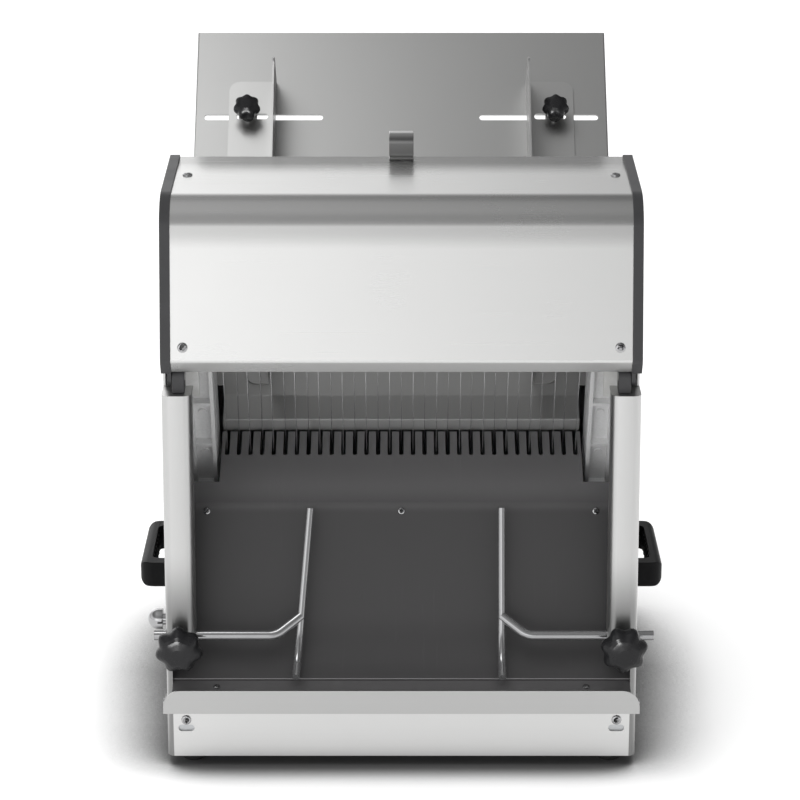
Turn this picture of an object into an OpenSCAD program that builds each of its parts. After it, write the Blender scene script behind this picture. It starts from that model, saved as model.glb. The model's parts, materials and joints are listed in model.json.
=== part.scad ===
// Bench bread slicer.
// Two interleaved blade frames slide along the blades, driven by an eccentric shaft in the base.
// A loaf slides down the infeed board, through the blades and over the slotted fingers to the tray.
// Millimetres, +Z up, front towards -Y, origin at the middle of the footprint on the table.
// Places in a side view are [y, z], measured from the cutting line where the bread meets the blades.

/* [Cutting line] */
// Number of blades, an odd count
blade_count = 31; // [25:2:37]
// Spacing of the blades, which is the slice thickness
blade_pitch = 12; // [10:0.5:14]
// Height of the cutting line above the table
cut_h = 286; // [280:1:300]
// Slope of the bread's path at the blades, in degrees
feed_tilt = 23; // [21:1:25]

/* [Sheet and frames] */
// Thickness of the folded sheet
sheet = 2; // [1.5:0.1:2.5]
// Thickness of the two side frames
frame_t = 5; // [4:0.5:6]
// Space between a side frame and its cover
cover_space = 10; // [9:1:16]
// Distance from the cutting line back to the rear panel's outer face
body_back = 250; // [244:1:270]

/* [Blade frames] */
// Width of a blade
blade_w = 12; // [10:0.5:13]
// Thickness of a blade
blade_t = 0.6; // [0.4:0.1:0.8]
// Travel of each blade frame from end to end
stroke = 20; // [16:1:22]
// Width of a frame beam across the machine
beam_w = 25; // [24:0.5:30]
// Depth of a frame beam along the feed
beam_d = 25; // [22:0.5:28]
// Height of the beams' top above the cutting line
beam_top = 200; // [190:1:204]
// Depth of the beams' foot below the cutting line
beam_foot = 100; // [95:1:105]
// Height of a blade bar
bar_h = 20; // [16:1:24]

/* [Drive] */
// Diameter of the eccentric shaft
shaft_d = 20; // [16:1:22]
// Height of the shaft above the table
shaft_h = 86.2; // [84:0.1:92]
// Thickness of a connecting rod
rod_t = 7; // [5:0.5:7.5]
// Radius of the drive pulley's rim
pulley_r = 44; // [40:1:46]
// Radius of the motor pulley's rim
pinion_r = 23; // [20:1:26]
// Radius of the motor
motor_r = 44; // [38:1:46]
// Length of the motor
motor_len = 170; // [140:1:180]

/* [Infeed] */
// Slope of the infeed board, in degrees
board_tilt = 46.5; // [44:0.5:49]
// Length of the infeed board above its bend
board_len = 448; // [420:1:470]
// Length of the flat section between the bend and the blades
infeed_run = 37; // [34:1:44]
// Width of the adjusting slots
slot_w = 7; // [6.8:0.1:9]
// Height of a loaf guide
guide_h = 62; // [50:1:75]
// Length of a loaf guide
guide_len = 370; // [340:1:385]
// Width of a loaf guide's plate
guide_w = 52; // [48:1:54]
// Diameter of the small star knobs
small_knob_d = 30; // [26:1:36]

/* [Outfeed] */
// Length of the slotted section from its tips to the bend
comb_run = 109; // [104:1:114]
// Width of the slots between the fingers
finger_slot = 4.6; // [3:0.1:5.5]
// Slope of the tray below its bend, in degrees
tray_slope = 72; // [70:1:74]
// Length of the tray's toe
toe_run = 39.2; // [38:0.2:44]
// Diameter of the holders' cross rods
cross_rod_d = 10; // [8:0.5:11]
// Diameter of the holders' curved rods
curved_rod_d = 8; // [6:0.5:9]
// Diameter of the large star knobs
large_knob_d = 48; // [42:1:52]

/* [Side covers] */
// Width of a column's front
column_w = 29.5; // [29:0.5:31]
// Rounding of a column's edges
column_r = 8; // [5:0.5:9]
// Height of the column tops above the cutting line
column_top = 97; // [94:1:99]
// Distance of the column tops' front edge ahead of the cutting line
column_set = 141; // [140:1:146]
// Reach of a carry handle from its cover
handle_reach = 40; // [36:1:48]
// Length of a carry handle
handle_len = 124; // [110:1:140]
// Height of a carry handle
handle_h = 27; // [22:1:32]

/* [Hood] */
// Length of the hood's front
hood_front = 157.5; // [150:0.5:165]
// Length of the hood's top
hood_top = 151.7; // [140:0.1:160]
// Rounding of the hood's bend
hood_r = 34; // [20:1:40]
// Thickness of the hood's end caps
cap_t = 10; // [8:0.5:10]

/* [Base] */
// Height of the front ledge's edge above the table
ledge_h = 84.9; // [82:0.1:90]
// Height of the rubber feet
foot_h = 12; // [10:1:20]
// Diameter of the rubber feet
foot_d = 26; // [20:1:30]
// Height of the crumb drawer
drawer_h = 23; // [18:1:24]

/* [Hidden] */
$fn = 64;

// Clearances: fixed seats, moving faces, running fits, and the overrun of cuts
seat = 0.2;
run = 0.3;
fit = 0.05;
over = 1;
bend_steps = 10;
arc_steps = 20;

// Half-widths across the machine, from the blades outwards
comb_margin = 6;
beam_clear = 4;
rail_back = 4;
comb_half = (blade_count - 1) / 2 * blade_pitch + comb_margin;
beam_in = comb_half + beam_clear;
beam_out = beam_in + beam_w;
frame_in = beam_out + rail_back;
frame_out = frame_in + frame_t;
wall_in = frame_out + cover_space;
body_half = wall_in + sheet;
flange_gap = 1;
board_half = frame_out + flange_gap + sheet;
tray_half = frame_in - run;
toe_half = wall_in - run;

// Blade frames, in the feed's own axes
frame_split = 3;
blade_split = 2;
beam_far = frame_split + beam_d;
bar_drop = 15;
bar_top = beam_top - bar_drop;
bar_foot = beam_foot - bar_drop;
slit_w = 1.2;
slit_deep = 1;
pin_d = 3;
pin_len = 8;
pin_sink = 0.8;
pin_zs = [-bar_foot - pin_d / 2 + pin_sink, bar_top + pin_d / 2 - pin_sink];
blade_tail = 2;
scallop_pitch = 15;
scallop_deep = 1.6;
scallop_count = 11;
scallop_shares = [0, 0.62, 1, 0.62];
rib_t = 4;
rib_pitch = 55.2;
rib_foot = 1;
rib_count = 5;
pocket_deep = 8;
boss_r = 4.2;
boss_h = 1.5;
boss_drop = 14;
lug_t = 8;
lug_r = 10;
small_end_y = 16;
small_end_drop = 130;
small_pin_r = 4;
small_eye_r = 8;
throw = stroke / 2;

// Guide rails on the side frames, in the feed's own axes
rail_rib = 7.7;
rail_reach = 12;
rail_low_start = -85;
rail_low_end = -35;
rail_high_start = 95;
rail_high_end = 165;

// Side view of the feed, the board and the tray
function feed_pt(y, z) = [y * cos(feed_tilt) - z * sin(feed_tilt), y * sin(feed_tilt) + z * cos(feed_tilt)];
infeed_gap = 25.6;
infeed_rise = 9.2;
infeed_flange = 15;
board_flange = 12;
board_bend_r = 12;
board_foot = feed_pt(infeed_gap + infeed_run, infeed_rise);
function board_top_z(y) = board_foot[1] + (y - board_foot[0]) * tan(board_tilt);
function board_under_z(y) = board_top_z(y) - sheet / cos(board_tilt);
finger_tip = 16.7;
finger_root = 19.6;
notch_end = 60;
tray_bend_r = 8;
toe_bend_r = 80;
toe_slope = 28;
toe_wing = 20;
tray_tip = feed_pt(finger_tip, 0);
tray_bend = tray_tip - comb_run * dir(feed_tilt);

// Tray beam and screws, on the tray's slope
beam_bar = 18;
tray_screw_down = 7.5;
tray_screw_x = 197;
screw_head_r = 3.5;
wide_head_r = 5;
screw_head_h = 1.6;
screw_r = 2;
screw_len = 6;

// Side view of the base and the front
base_top = foot_h + sheet - cut_h;
base_foot = foot_h - cut_h;
panel_set = 176;
panel_h = 70;
panel_top = panel_h - cut_h;
panel_fold = 12;
ledge_slope = 13;
ledge_back = 10;
ledge_flange = 20;
ledge_r = 3;
lip_set = 188;
lip_h = 25;
lip_rise = 4;
lip_corner_r = 18;
lip_tab = 34;
lip_screw_back = 22;
ledge_front = [-lip_set + sheet, ledge_h - cut_h];
lip_top = ledge_front[1] + lip_rise;

// The tray's steep part is as long as it takes for the toe to lie on the ledge
function above_ledge(p) = p[1] - ledge_front[1] - (p[0] - ledge_front[0]) * tan(ledge_slope);
steep_dir = dir(180 + tray_slope);
toe_reach = toe_run * dir(180 + toe_slope);
toe_under = sheet * left(dir(180 + toe_slope)) - [0, seat];
steep_fall = steep_dir[0] * tan(ledge_slope) - steep_dir[1];
tray_drop = above_ledge(tray_bend + toe_reach + toe_under) / steep_fall;
toe_end = tray_bend + tray_drop * steep_dir + toe_reach;
tray_pts = [tray_tip, tray_bend, toe_end - toe_reach, toe_end];
ledge_pts = [
  toe_end + toe_under + ledge_back * dir(ledge_slope), ledge_front, ledge_front - [0, ledge_flange]
];
panel_inset = 4.7;
panel_half = wall_in - panel_inset;
panel_screw_in = 13;
panel_screw_z = 52;
panel_slot_z = 43;
panel_slot_len = 16;
panel_slot_w = 7;
ledge_screw_in = 49;
ledge_screw_back = 11;

// Side frames
frame_front = 100;
frame_brow = 60;
ear_half = 40;
ear_top = 180;

// Side covers and columns
cover_lean = 5.4;
column_depth = 22;
column_low = 118;
column_end = column_low - cut_h;
column_cap = 34;
cover_brow = 112;
brow_start = 108;
cover_flange = 6.5;
rod_hole_gap = 1.5;

// Hood, hinge posts and tab
hood_set = 131.7;
hood_low = 119.4;
lip_run = 14.5;
lip_angle = 120;
front_angle = 76.6;
top_angle = 2.6;
lip_bend_r = 4;
hood_legs = [[lip_run, lip_angle], [hood_front, front_angle], [hood_top, top_angle]];
hood_pts = walk([-hood_set, hood_low], hood_legs);
cap_proud = 2;
cap_low = 117.5;
cap_tail = 95;
cap_corner = 12;
cap_half = body_half - cap_t;
hinge_y = -124;
hinge_z = 112;
hinge_r = 4;
post_r = 9;
post_w = 12.4;
lug_w = 4;
tab_w = 25;
tab_h = 21;
tab_lean = 12;
tab_top_r = 8;
tab_foot = 14;
tab_r = 3;
hood_screw_in = 12;
hood_screw_low = 14;
hood_screw_back = 66;

// Loaf guides, in the board's own axes
guide_drop = 65;
guide_in = 138;
guide_corner = 12;
guide_low_w = 26.5;
guide_wide_len = 170;
slot_drop = 109.5;
slot_in = 86;
slot_out_gap = 10;
stud_x = 169;
plate_slot = 35;
stud_r = 3;
guide_y0 = board_len - guide_drop - guide_len;
slot_y = board_len - slot_drop;
nut_w = 20;
nut_h = 6;
small_knob_h = 16;
small_hub_h = 14;

// Holders, clamp blocks and large knobs
rod_y = -150;
rod_h = 133;
rod_z = rod_h - cut_h;
cross_bend_x = 126;
cross_bend_r = 20;
curved_x = 101;
curved_gap = 18.4;
curved_top = 3.5;
curved_toe = 35.5;
curved_toe_slope = 28;
curved_bend_r = 50;
left_skew = 5;
rod_end_left = 248.5;
rod_end_right = 253.3;
bush_wall = 1.5;
bush_r = cross_rod_d / 2 + bush_wall;
block_front = 161;
block_back = 138;
block_half = 12;
block_chamfer = 6;
clamp_screw_r = 4;
knob_front = 203;
large_knob_h = 22;
large_hub_h = 8;
clamp_x = (wall_in - column_w + sheet + body_half) / 2;

// Push button on the left cover
button_y = -124;
button_h = 140;
button_z = button_h - cut_h;
button_r = 10.5;
button_out = 10;
button_stem_r = 6;
collar_r = 9.5;
collar_t = 1.2;
button_flat = 5;

// Carry handles
handle_y = 4;
handle_z = 123;
handle_corner = 14;
handle_wall = 6;
handle_grip = 12;
handle_end = 14;
handle_round = 8;
handle_hole_r = 8;

// Drive in the base
ecc_rim = 2;
rod_rim = 8;
ecc_r = throw + shaft_d / 2 + ecc_rim;
big_end_r = ecc_r + rod_rim;
rod_gap = 0.4;
shank_w = 14;
rod_x0 = beam_in + lug_t + rod_gap;
rod_x1 = rod_x0 + rod_t + rod_gap;
shaft_drop = (cut_h - shaft_h) / cos(feed_tilt);
shaft_pt = feed_pt(0, -shaft_drop);
bearing_t = 8;
bearing_flange = 4;
bearing_r = 28;
bearing_boss_r = 20;
shaft_room = 8;
shaft_room_r = shaft_d / 2 + shaft_room;
shaft_half = frame_out + bearing_t - sheet;
motor_y = 190;
motor_h = 102;
motor_z = motor_h - cut_h;
motor_bell = 18;
motor_bell_in = 5;
motor_fin_deep = 4;
motor_fin_count = 9;
motor_fin_share = 0.5;
motor_foot_w = 60;
motor_foot_h = 8;
motor_shaft_r = 6;
motor_shaft_in = 20;
mount_t = 4;
mount_depth = 90;
mount_sink = 4;
pulley_x = 158;
pulley_w = 16;
groove_w = 10;
groove_deep = 7;
belt_w = 9;
belt_t = 6;
belt_gap = 0.4;
hub_wall = 6;

// Base pan, drawer and rear panel
pan_wall = 15;
pan_front = 48;
foot_x = 211;
foot_front = 150;
foot_back = 222;
foot_taper = 1;
drawer_half = 180;
drawer_front = 140;
drawer_sheet = 1.5;
drawer_plate = 8;
drawer_pull = 12;
runner_h = 10;
opening_gap = 1;
vent_count = 9;
vent_w = 4;
vent_len = 40;
vent_pitch = 12;
vent_h = 150;
vent_z = vent_h - cut_h;
gland_r = 9;
gland_bore_r = 4;
gland_h = 14;
gland_nut_r = 12;
gland_nut_h = 5;
gland_x = -190;
gland_rise = 71;
gland_z = gland_rise - cut_h;

// Whole depth, which sets the middle of the footprint
board_end = board_foot + board_len * dir(board_tilt);
cut_y = (knob_front - board_end[0] - board_flange * sin(board_tilt)) / 2;

// Paths of folded sheet in a side view
function dir(a) = [cos(a), sin(a)];
function left(d) = [-d[1], d[0]];
function heading(p, q) = atan2(q[1] - p[1], q[0] - p[0]);
function turn(a, b) = let (t = b - a) t > 180 ? t - 360 : t < -180 ? t + 360 : t;
function walk(p, legs, i = 0) =
  i == len(legs) ? [p] : concat([p], walk(p + legs[i][0] * dir(legs[i][1]), legs, i + 1));
function bend(p, q, s, r) =
  let (
    a = heading(p, q),
    t = turn(a, heading(q, s)),
    side = sign(t),
    start = q - r * tan(abs(t) / 2) * dir(a),
    c = start + side * r * left(dir(a))
  )
  [for (i = [0:bend_steps]) let (n = left(dir(a + t * i / bend_steps))) [c - side * r * n, n]];
function stations(pts, radii) =
  let (n = len(pts))
  concat(
    [[pts[0], left(dir(heading(pts[0], pts[1])))]],
    [for (i = [1:1:n - 2]) each bend(pts[i - 1], pts[i], pts[i + 1], radii[i - 1])],
    [[pts[n - 1], left(dir(heading(pts[n - 2], pts[n - 1])))]]
  );
function sheet_outline(pts, radii, t) =
  let (s = stations(pts, radii), n = len(s))
  concat([for (q = s) q[0]], [for (i = [n - 1:-1:0]) s[i][0] + t * s[i][1]]);
function arc(c, r, a0, a1) = [for (i = [0:arc_steps]) c + r * dir(a0 + (a1 - a0) * i / arc_steps)];

// Placing
module at_cut() { translate([0, cut_y, cut_h]) children(); }
module in_feed() { at_cut() rotate([feed_tilt, 0, 0]) children(); }
module on_line(p, tilt) { at_cut() translate([0, p[0], p[1]]) rotate([tilt, 0, 0]) children(); }
module on_board() { on_line(board_foot, board_tilt) children(); }
module on_slope() { on_line(tray_bend, tray_slope) children(); }
module both_sides() { children(); mirror([1, 0, 0]) children(); }
module left_side() { mirror([1, 0, 0]) children(); }
// A side-view outline drawn in [y, z] and stretched across the machine
module across(x0, x1) { translate([x0, 0, 0]) rotate([90, 0, 90]) linear_extrude(x1 - x0) children(); }
module rod_x(x0, x1, r) { translate([x0, 0, 0]) rotate([0, 90, 0]) cylinder(r = r, h = x1 - x0); }
module box(low, high) { translate(low) cube(high - low); }
// A bar of round rod between two points
module rod_between(p, q, r) {
  v = q - p;
  translate(p) rotate([0, acos(v[2] / norm(v)), atan2(v[1], v[0])]) cylinder(r = r, h = norm(v));
}

// Outlines that repeat
module rounded_front(x0, x1, depth, r) {
  translate([x0 + r, 0]) square([x1 - x0 - 2 * r, depth]);
  translate([x0, r]) square([x1 - x0, depth - r]);
  for (x = [x0 + r, x1 - r]) translate([x, r]) circle(r);
}
module rounded_rect(low, high, r) {
  size = high - low;
  translate(low + [r, 0]) square([size[0] - 2 * r, size[1]]);
  translate(low + [0, r]) square([size[0], size[1] - 2 * r]);
  for (x = [low[0] + r, high[0] - r], y = [low[1] + r, high[1] - r]) translate([x, y]) circle(r);
}
module slot_outline(len, w) {
  square([len - w, w], center = true);
  for (s = [-1, 1]) translate([s * (len - w) / 2, 0]) circle(w / 2);
}
// A seven-lobed knob with a domed face, its back at z = 0
lobe_count = 7;
lobe_shares = [0.66, 0.25, 0.75];
dome_share = 0.28;
hub_share = 0.42;
module star_knob(d, h, hub_h) {
  r = d / 2;
  cylinder(r = hub_share * r, h = hub_h + over);
  translate([0, 0, hub_h]) intersection() {
    linear_extrude(h) union() {
      circle(lobe_shares[0] * r);
      for (i = [0:lobe_count - 1]) rotate(360 * i / lobe_count) {
        translate([lobe_shares[2] * r, 0]) circle(lobe_shares[1] * r);
        translate([0, -lobe_shares[1] * r]) square([lobe_shares[2] * r, 2 * lobe_shares[1] * r]);
      }
    }
    rotate_extrude() polygon([
      [0, 0], [r * (1 - dome_share), 0], [r, dome_share * h], [r, h * (1 - dome_share)],
      [r * (1 - dome_share), h * (1 - dome_share / 3)], [0, h]
    ]);
  }
}
module button_screw(head_r) {
  translate([0, 0, -screw_len]) cylinder(r = screw_r, h = screw_len + screw_head_h / 2);
  cylinder(r1 = head_r, r2 = head_r * hub_share * 2, h = screw_head_h);
}

// Base
module base_pan() {
  color("silver") at_cut() {
    half = wall_in - seat;
    side_front = -panel_set + column_r + seat;
    back = body_back - sheet - seat;
    box([-panel_half, -panel_set + sheet, base_foot], [panel_half, back, base_top]);
    difference() {
      box([-panel_half, -panel_set + sheet, base_top - over],
        [panel_half, -panel_set + 2 * sheet, base_top + pan_front]);
      both_sides() translate([panel_half - panel_screw_in, -panel_set, panel_screw_z - cut_h])
        rotate([-90, 0, 0]) cylinder(r = screw_r + fit, h = 2 * sheet + over);
    }
    box([-half, side_front, base_foot], [half, back, base_top]);
    both_sides() {
      box([half - sheet, side_front, base_top - over], [half, back, base_top + pan_wall]);
      box([drawer_half + run, -drawer_front, base_top - over],
        [drawer_half + run + sheet, back, base_top + runner_h]);
    }
  }
}
module rubber_feet() {
  color("#151515") for (x = [-foot_x, foot_x], y = [-foot_front, foot_back])
    translate([x, cut_y + y, 0]) cylinder(r1 = foot_d / 2 - foot_taper, r2 = foot_d / 2, h = foot_h);
}
module front_panel() {
  color("gainsboro") at_cut() difference() {
    union() {
      box([-panel_half, -panel_set, base_foot], [panel_half, -panel_set + sheet, panel_top]);
      box([-panel_half, -panel_set, panel_top - sheet], [panel_half, -panel_set + panel_fold, panel_top]);
    }
    both_sides() translate([panel_half - panel_screw_in, -panel_set, 0]) rotate([90, 0, 0]) {
      translate([0, panel_slot_z - cut_h, -sheet - over]) linear_extrude(sheet + 2 * over)
        slot_outline(panel_slot_len, panel_slot_w);
      translate([0, panel_screw_z - cut_h, -sheet - over]) cylinder(r = screw_r + fit, h = sheet + 2 * over);
    }
  }
}
module at_ledge_screws() {
  place = ledge_pts[1] + ledge_screw_back * dir(ledge_slope);
  both_sides() on_line(place, ledge_slope) translate([wall_in - ledge_screw_in, 0, 0]) children();
}
module front_ledge() {
  color("dimgray") difference() {
    at_cut() across(-panel_half, panel_half) polygon(sheet_outline(ledge_pts, [ledge_r], sheet));
    at_ledge_screws() translate([0, 0, -sheet - over]) cylinder(r = screw_r + fit, h = sheet + 2 * over);
  }
}
module front_lip() {
  half = body_half + seat + sheet;
  low = lip_top - lip_h;
  color("gainsboro") at_cut() {
    difference() {
      translate([0, -lip_set + sheet, 0]) rotate([90, 0, 0]) linear_extrude(sheet) {
        translate([-half, low]) square([2 * half, lip_h - lip_corner_r]);
        translate([-half + lip_corner_r, low]) square([2 * (half - lip_corner_r), lip_h]);
        for (s = [-1, 1]) translate([s * (half - lip_corner_r), lip_top - lip_corner_r]) circle(lip_corner_r);
      }
      box([-half - over, -lip_set - over, low - lip_corner_r], [half + over, -lip_set + sheet + over, low]);
    }
    both_sides() difference() {
      box([half - sheet, -lip_set + sheet - over, low], [half, -lip_set + lip_tab, lip_top - lip_corner_r]);
      translate([0, -lip_set + lip_screw_back, (low + lip_top - lip_corner_r) / 2])
        rod_x(half - sheet - over, half + over, screw_r + fit);
    }
  }
}
module side_frame() {
  back = body_back - sheet - seat;
  color("darkgray") difference() {
    union() {
      at_cut() across(frame_in, frame_out) polygon([
        [-frame_front, base_top + seat], [back, base_top + seat], [back, board_under_z(back) - seat],
        [board_foot[0], board_under_z(board_foot[0]) - seat - sheet],
        feed_pt(infeed_gap, frame_brow), [-frame_front, frame_brow]
      ]);
      in_feed() box([frame_in, -ear_half, 0], [frame_out, ear_half, ear_top]);
    }
    at_cut() translate([0, shaft_pt[0], shaft_pt[1]]) rod_x(frame_in - over, frame_out + over, shaft_room_r);
  }
}
module side_frame_right() { side_frame(); }
module side_frame_left() { left_side() side_frame(); }

// A column stands on the cover's leaning front line, with its top at the origin
module column_frame() { on_line([-column_set, column_top], -cover_lean) children(); }
module column_solid(inset, depth) {
  long = column_top + cut_h;
  x0 = body_half - column_w + inset;
  column_frame() translate([0, inset, -2 * long]) linear_extrude(3 * long)
    rounded_front(x0, body_half - inset, depth, column_r - inset);
}
module slab_in(half, z0, z1) { at_cut() box([0, -2 * column_set, z0], [half, 2 * body_back, z1]); }
module slab(z0, z1) { slab_in(body_half + over, z0, z1); }
module side_cover(holes) {
  front_low = -column_set - (column_top - base_foot) * tan(cover_lean) + column_depth / 2;
  front_high = -column_set + column_depth / 2;
  rear_z = board_top_z(body_back);
  brow_end = board_foot[0] + (cover_brow - board_foot[1]) / tan(board_tilt);
  color("gainsboro") difference() {
    union() {
      at_cut() across(wall_in, body_half) polygon([
        [front_low, base_foot - over], [body_back, base_foot - over], [body_back, rear_z],
        [brow_end, cover_brow], [-brow_start, cover_brow], [-brow_start, column_top], [front_high, column_top]
      ]);
      difference() {
        intersection() {
          difference() {
            column_solid(0, column_depth);
            column_solid(sheet, column_depth);
          }
          slab(base_foot - over, column_top);
        }
        slab_in(panel_half + seat, base_foot - 2 * over, column_end);
      }
      intersection() {
        column_solid(0, column_cap);
        slab(column_top - sheet, column_top);
      }
      at_cut() box([wall_in - cover_flange, -brow_start, cover_brow - sheet],
        [wall_in + over, brow_end, cover_brow]);
      on_board() box([wall_in - cover_flange, (brow_end - board_foot[0]) / cos(board_tilt), -sheet],
        [wall_in + over, (body_back - board_foot[0]) / cos(board_tilt) - sheet, 0]);
    }
    slab(base_foot - 2 * over, base_foot);
    at_cut() {
      translate([0, rod_y, rod_z]) rod_x(body_half - column_w - over, body_half + over,
        cross_rod_d / 2 + rod_hole_gap);
      translate([clamp_x, -knob_front, rod_z]) rotate([-90, 0, 0])
        cylinder(r = clamp_screw_r + rod_hole_gap, h = knob_front - block_front + over);
      if (holes) translate([0, button_y, button_z])
        rod_x(wall_in - over, body_half + over, collar_r - collar_t);
      translate([0, -lip_set + lip_screw_back, lip_top - (lip_h + lip_corner_r) / 2])
        rod_x(wall_in - column_r, body_half + over, screw_r + fit);
    }
  }
}
module side_cover_right() { side_cover(false); }
module side_cover_left() { left_side() side_cover(true); }
module rear_panel() {
  half = wall_in - seat;
  door = drawer_half + opening_gap;
  color("silver") at_cut() difference() {
    box([-half, body_back - sheet, base_foot], [half, body_back, board_under_z(body_back - sheet) - seat]);
    box([-door, body_back - sheet - over, base_top - over],
      [door, body_back + over, base_top + drawer_h + opening_gap]);
    for (i = [0:vent_count - 1])
      translate([(i - (vent_count - 1) / 2) * vent_pitch, body_back + over, vent_z])
        rotate([90, 90, 0]) linear_extrude(sheet + 2 * over) slot_outline(vent_len, vent_w);
    translate([gland_x, body_back + over, gland_z]) rotate([90, 0, 0])
      cylinder(r = gland_r, h = sheet + 2 * over);
    both_sides() translate([0, board_foot[0], board_foot[1]]) rotate([board_tilt, 0, 0])
      box([board_half - sheet - run, 0, -board_flange - run], [board_half + run, board_len, 0]);
  }
}
module cable_gland() {
  color("#1a1a1a") at_cut() translate([gland_x, body_back, gland_z]) rotate([-90, 0, 0]) difference() {
    union() {
      translate([0, 0, -sheet - gland_nut_h]) cylinder(r = gland_r - fit, h = sheet + gland_nut_h + gland_h);
      cylinder(r = gland_nut_r, h = gland_nut_h, $fn = 6);
    }
    translate([0, 0, -sheet - gland_nut_h - over])
      cylinder(r = gland_bore_r, h = sheet + gland_nut_h + gland_h + 2 * over);
  }
}
module crumb_drawer() {
  back = body_back + seat;
  top = base_top + drawer_h;
  color("silver") at_cut() {
    difference() {
      box([-drawer_half, -drawer_front, base_top + run], [drawer_half, back + over, top]);
      box([-drawer_half + drawer_sheet, -drawer_front + drawer_sheet, base_top + run + drawer_sheet],
        [drawer_half - drawer_sheet, back, top + over]);
    }
    box([-drawer_half - drawer_plate, back, base_top + run], [drawer_half + drawer_plate, back + sheet, top]);
    box([-drawer_half / 2, back, top - sheet], [drawer_half / 2, back + drawer_pull, top]);
  }
}

// Infeed board and loaf guides
module infeed_board() {
  lower = [
    feed_pt(infeed_gap, infeed_rise - infeed_flange), feed_pt(infeed_gap, infeed_rise), board_foot,
    board_foot + infeed_run * dir(board_tilt)
  ];
  color("lightgray") difference() {
    union() {
      at_cut() across(-comb_half + run, comb_half - run)
        polygon(sheet_outline(lower, [sheet + fit, board_bend_r], -sheet));
      on_board() {
        box([-board_half, board_bend_r, -sheet], [board_half, board_len, 0]);
        both_sides() box([board_half - sheet, board_bend_r, -board_flange], [board_half, board_len, 0]);
      }
    }
    slot_end = board_half - slot_out_gap;
    on_board() both_sides() translate([(slot_in + slot_end) / 2, slot_y, -sheet - over])
      linear_extrude(sheet + 2 * over) slot_outline(slot_end - slot_in, slot_w);
  }
}
module guide() {
  color("lightgray") on_board() translate([0, 0, seat]) {
    linear_extrude(sheet) difference() {
      translate([guide_in, guide_y0]) union() {
        wide_y = guide_len - guide_wide_len;
        translate([0, guide_corner]) square([guide_low_w, guide_len - 2 * guide_corner]);
        square([guide_low_w - guide_corner, guide_len]);
        translate([guide_low_w - guide_corner, guide_corner]) circle(guide_corner);
        translate([0, wide_y]) square([guide_w, guide_wide_len - guide_corner]);
        translate([0, wide_y]) square([guide_w - guide_corner, guide_wide_len]);
        translate([guide_w - guide_corner, guide_len - guide_corner]) circle(guide_corner);
      }
      translate([guide_in + guide_w / 2, slot_y]) slot_outline(plate_slot, slot_w);
    }
    translate([guide_in, 0, 0]) rotate([90, 0, 90]) linear_extrude(sheet) translate([guide_y0, 0]) union() {
      square([guide_len, guide_h - guide_corner]);
      translate([guide_corner, 0]) square([guide_len - 2 * guide_corner, guide_h]);
      for (y = [guide_corner, guide_len - guide_corner])
        translate([y, guide_h - guide_corner]) circle(guide_corner);
    }
  }
}
module guide_right() { guide(); }
module guide_left() { left_side() guide(); }
module at_stud() { on_board() translate([stud_x, slot_y, 0]) children(); }
module guide_nut() {
  color("gray") at_stud() translate([0, 0, -sheet - seat - nut_h]) difference() {
    translate([-nut_w / 2, -nut_w / 2, 0]) cube([nut_w, nut_w, nut_h]);
    translate([0, 0, -over]) cylinder(r = stud_r + fit, h = nut_h + 2 * over);
  }
}
module guide_nut_right() { guide_nut(); }
module guide_nut_left() { left_side() guide_nut(); }
module guide_knob() {
  color("#101010") at_stud() {
    translate([0, 0, -sheet - seat - nut_h])
      cylinder(r = stud_r, h = 2 * sheet + nut_h + 2 * seat + over);
    translate([0, 0, 2 * seat + sheet]) star_knob(small_knob_d, small_knob_h, small_hub_h);
  }
}
module guide_knob_right() { guide_knob(); }
module guide_knob_left() { left_side() guide_knob(); }

// Outfeed tray
module outfeed_tray() {
  color("#4a4a4a") difference() {
    at_cut() across(-toe_half, toe_half) polygon(sheet_outline(tray_pts, [tray_bend_r, toe_bend_r], sheet));
    both_sides() on_line(toe_end, toe_slope)
      box([tray_half, toe_wing, -comb_run], [toe_half + over, tray_drop + comb_run, tray_drop + comb_run]);
    in_feed() {
      for (i = [0:blade_count - 1]) translate([(i - (blade_count - 1) / 2) * blade_pitch, 0, -sheet - over]) {
        translate([-finger_slot / 2, -finger_root + finger_slot / 2, 0])
          cube([finger_slot, finger_root + finger_tip + over, sheet + 2 * over]);
        translate([0, -finger_root + finger_slot / 2, 0]) cylinder(r = finger_slot / 2, h = sheet + 2 * over);
      }
      both_sides() box([comb_half, -notch_end, -sheet - over], [tray_half + over, finger_tip + over, over]);
    }
    on_slope() for (s = [-1, 0, 1]) translate([s * tray_screw_x, -tray_screw_down, -sheet - over])
      cylinder(r = screw_r + fit, h = sheet + 2 * over);
  }
}
module tray_beam() {
  color("darkgray") on_slope() difference() {
    box([-frame_in, -beam_bar - tray_screw_down / 2, -sheet - beam_bar],
      [frame_in, -tray_screw_down / 2, -sheet]);
    for (s = [-1, 0, 1]) translate([s * tray_screw_x, -tray_screw_down, -sheet - screw_len])
      cylinder(r = screw_r + fit, h = screw_len + over);
  }
}
module tray_screws() {
  color("silver") on_slope() for (s = [-1, 0, 1])
    translate([s * tray_screw_x, -tray_screw_down, 0]) button_screw(screw_head_r);
}
module body_screws() {
  color("silver") {
    at_cut() both_sides() {
      translate([panel_half - panel_screw_in, -panel_set, panel_screw_z - cut_h])
        rotate([90, 0, 0]) button_screw(wide_head_r);
      translate([body_half + seat + sheet, -lip_set + lip_screw_back, lip_top - (lip_h + lip_corner_r) / 2])
        rotate([0, 90, 0]) button_screw(screw_head_r);
    }
    at_ledge_screws() button_screw(screw_head_r);
  }
}

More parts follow.
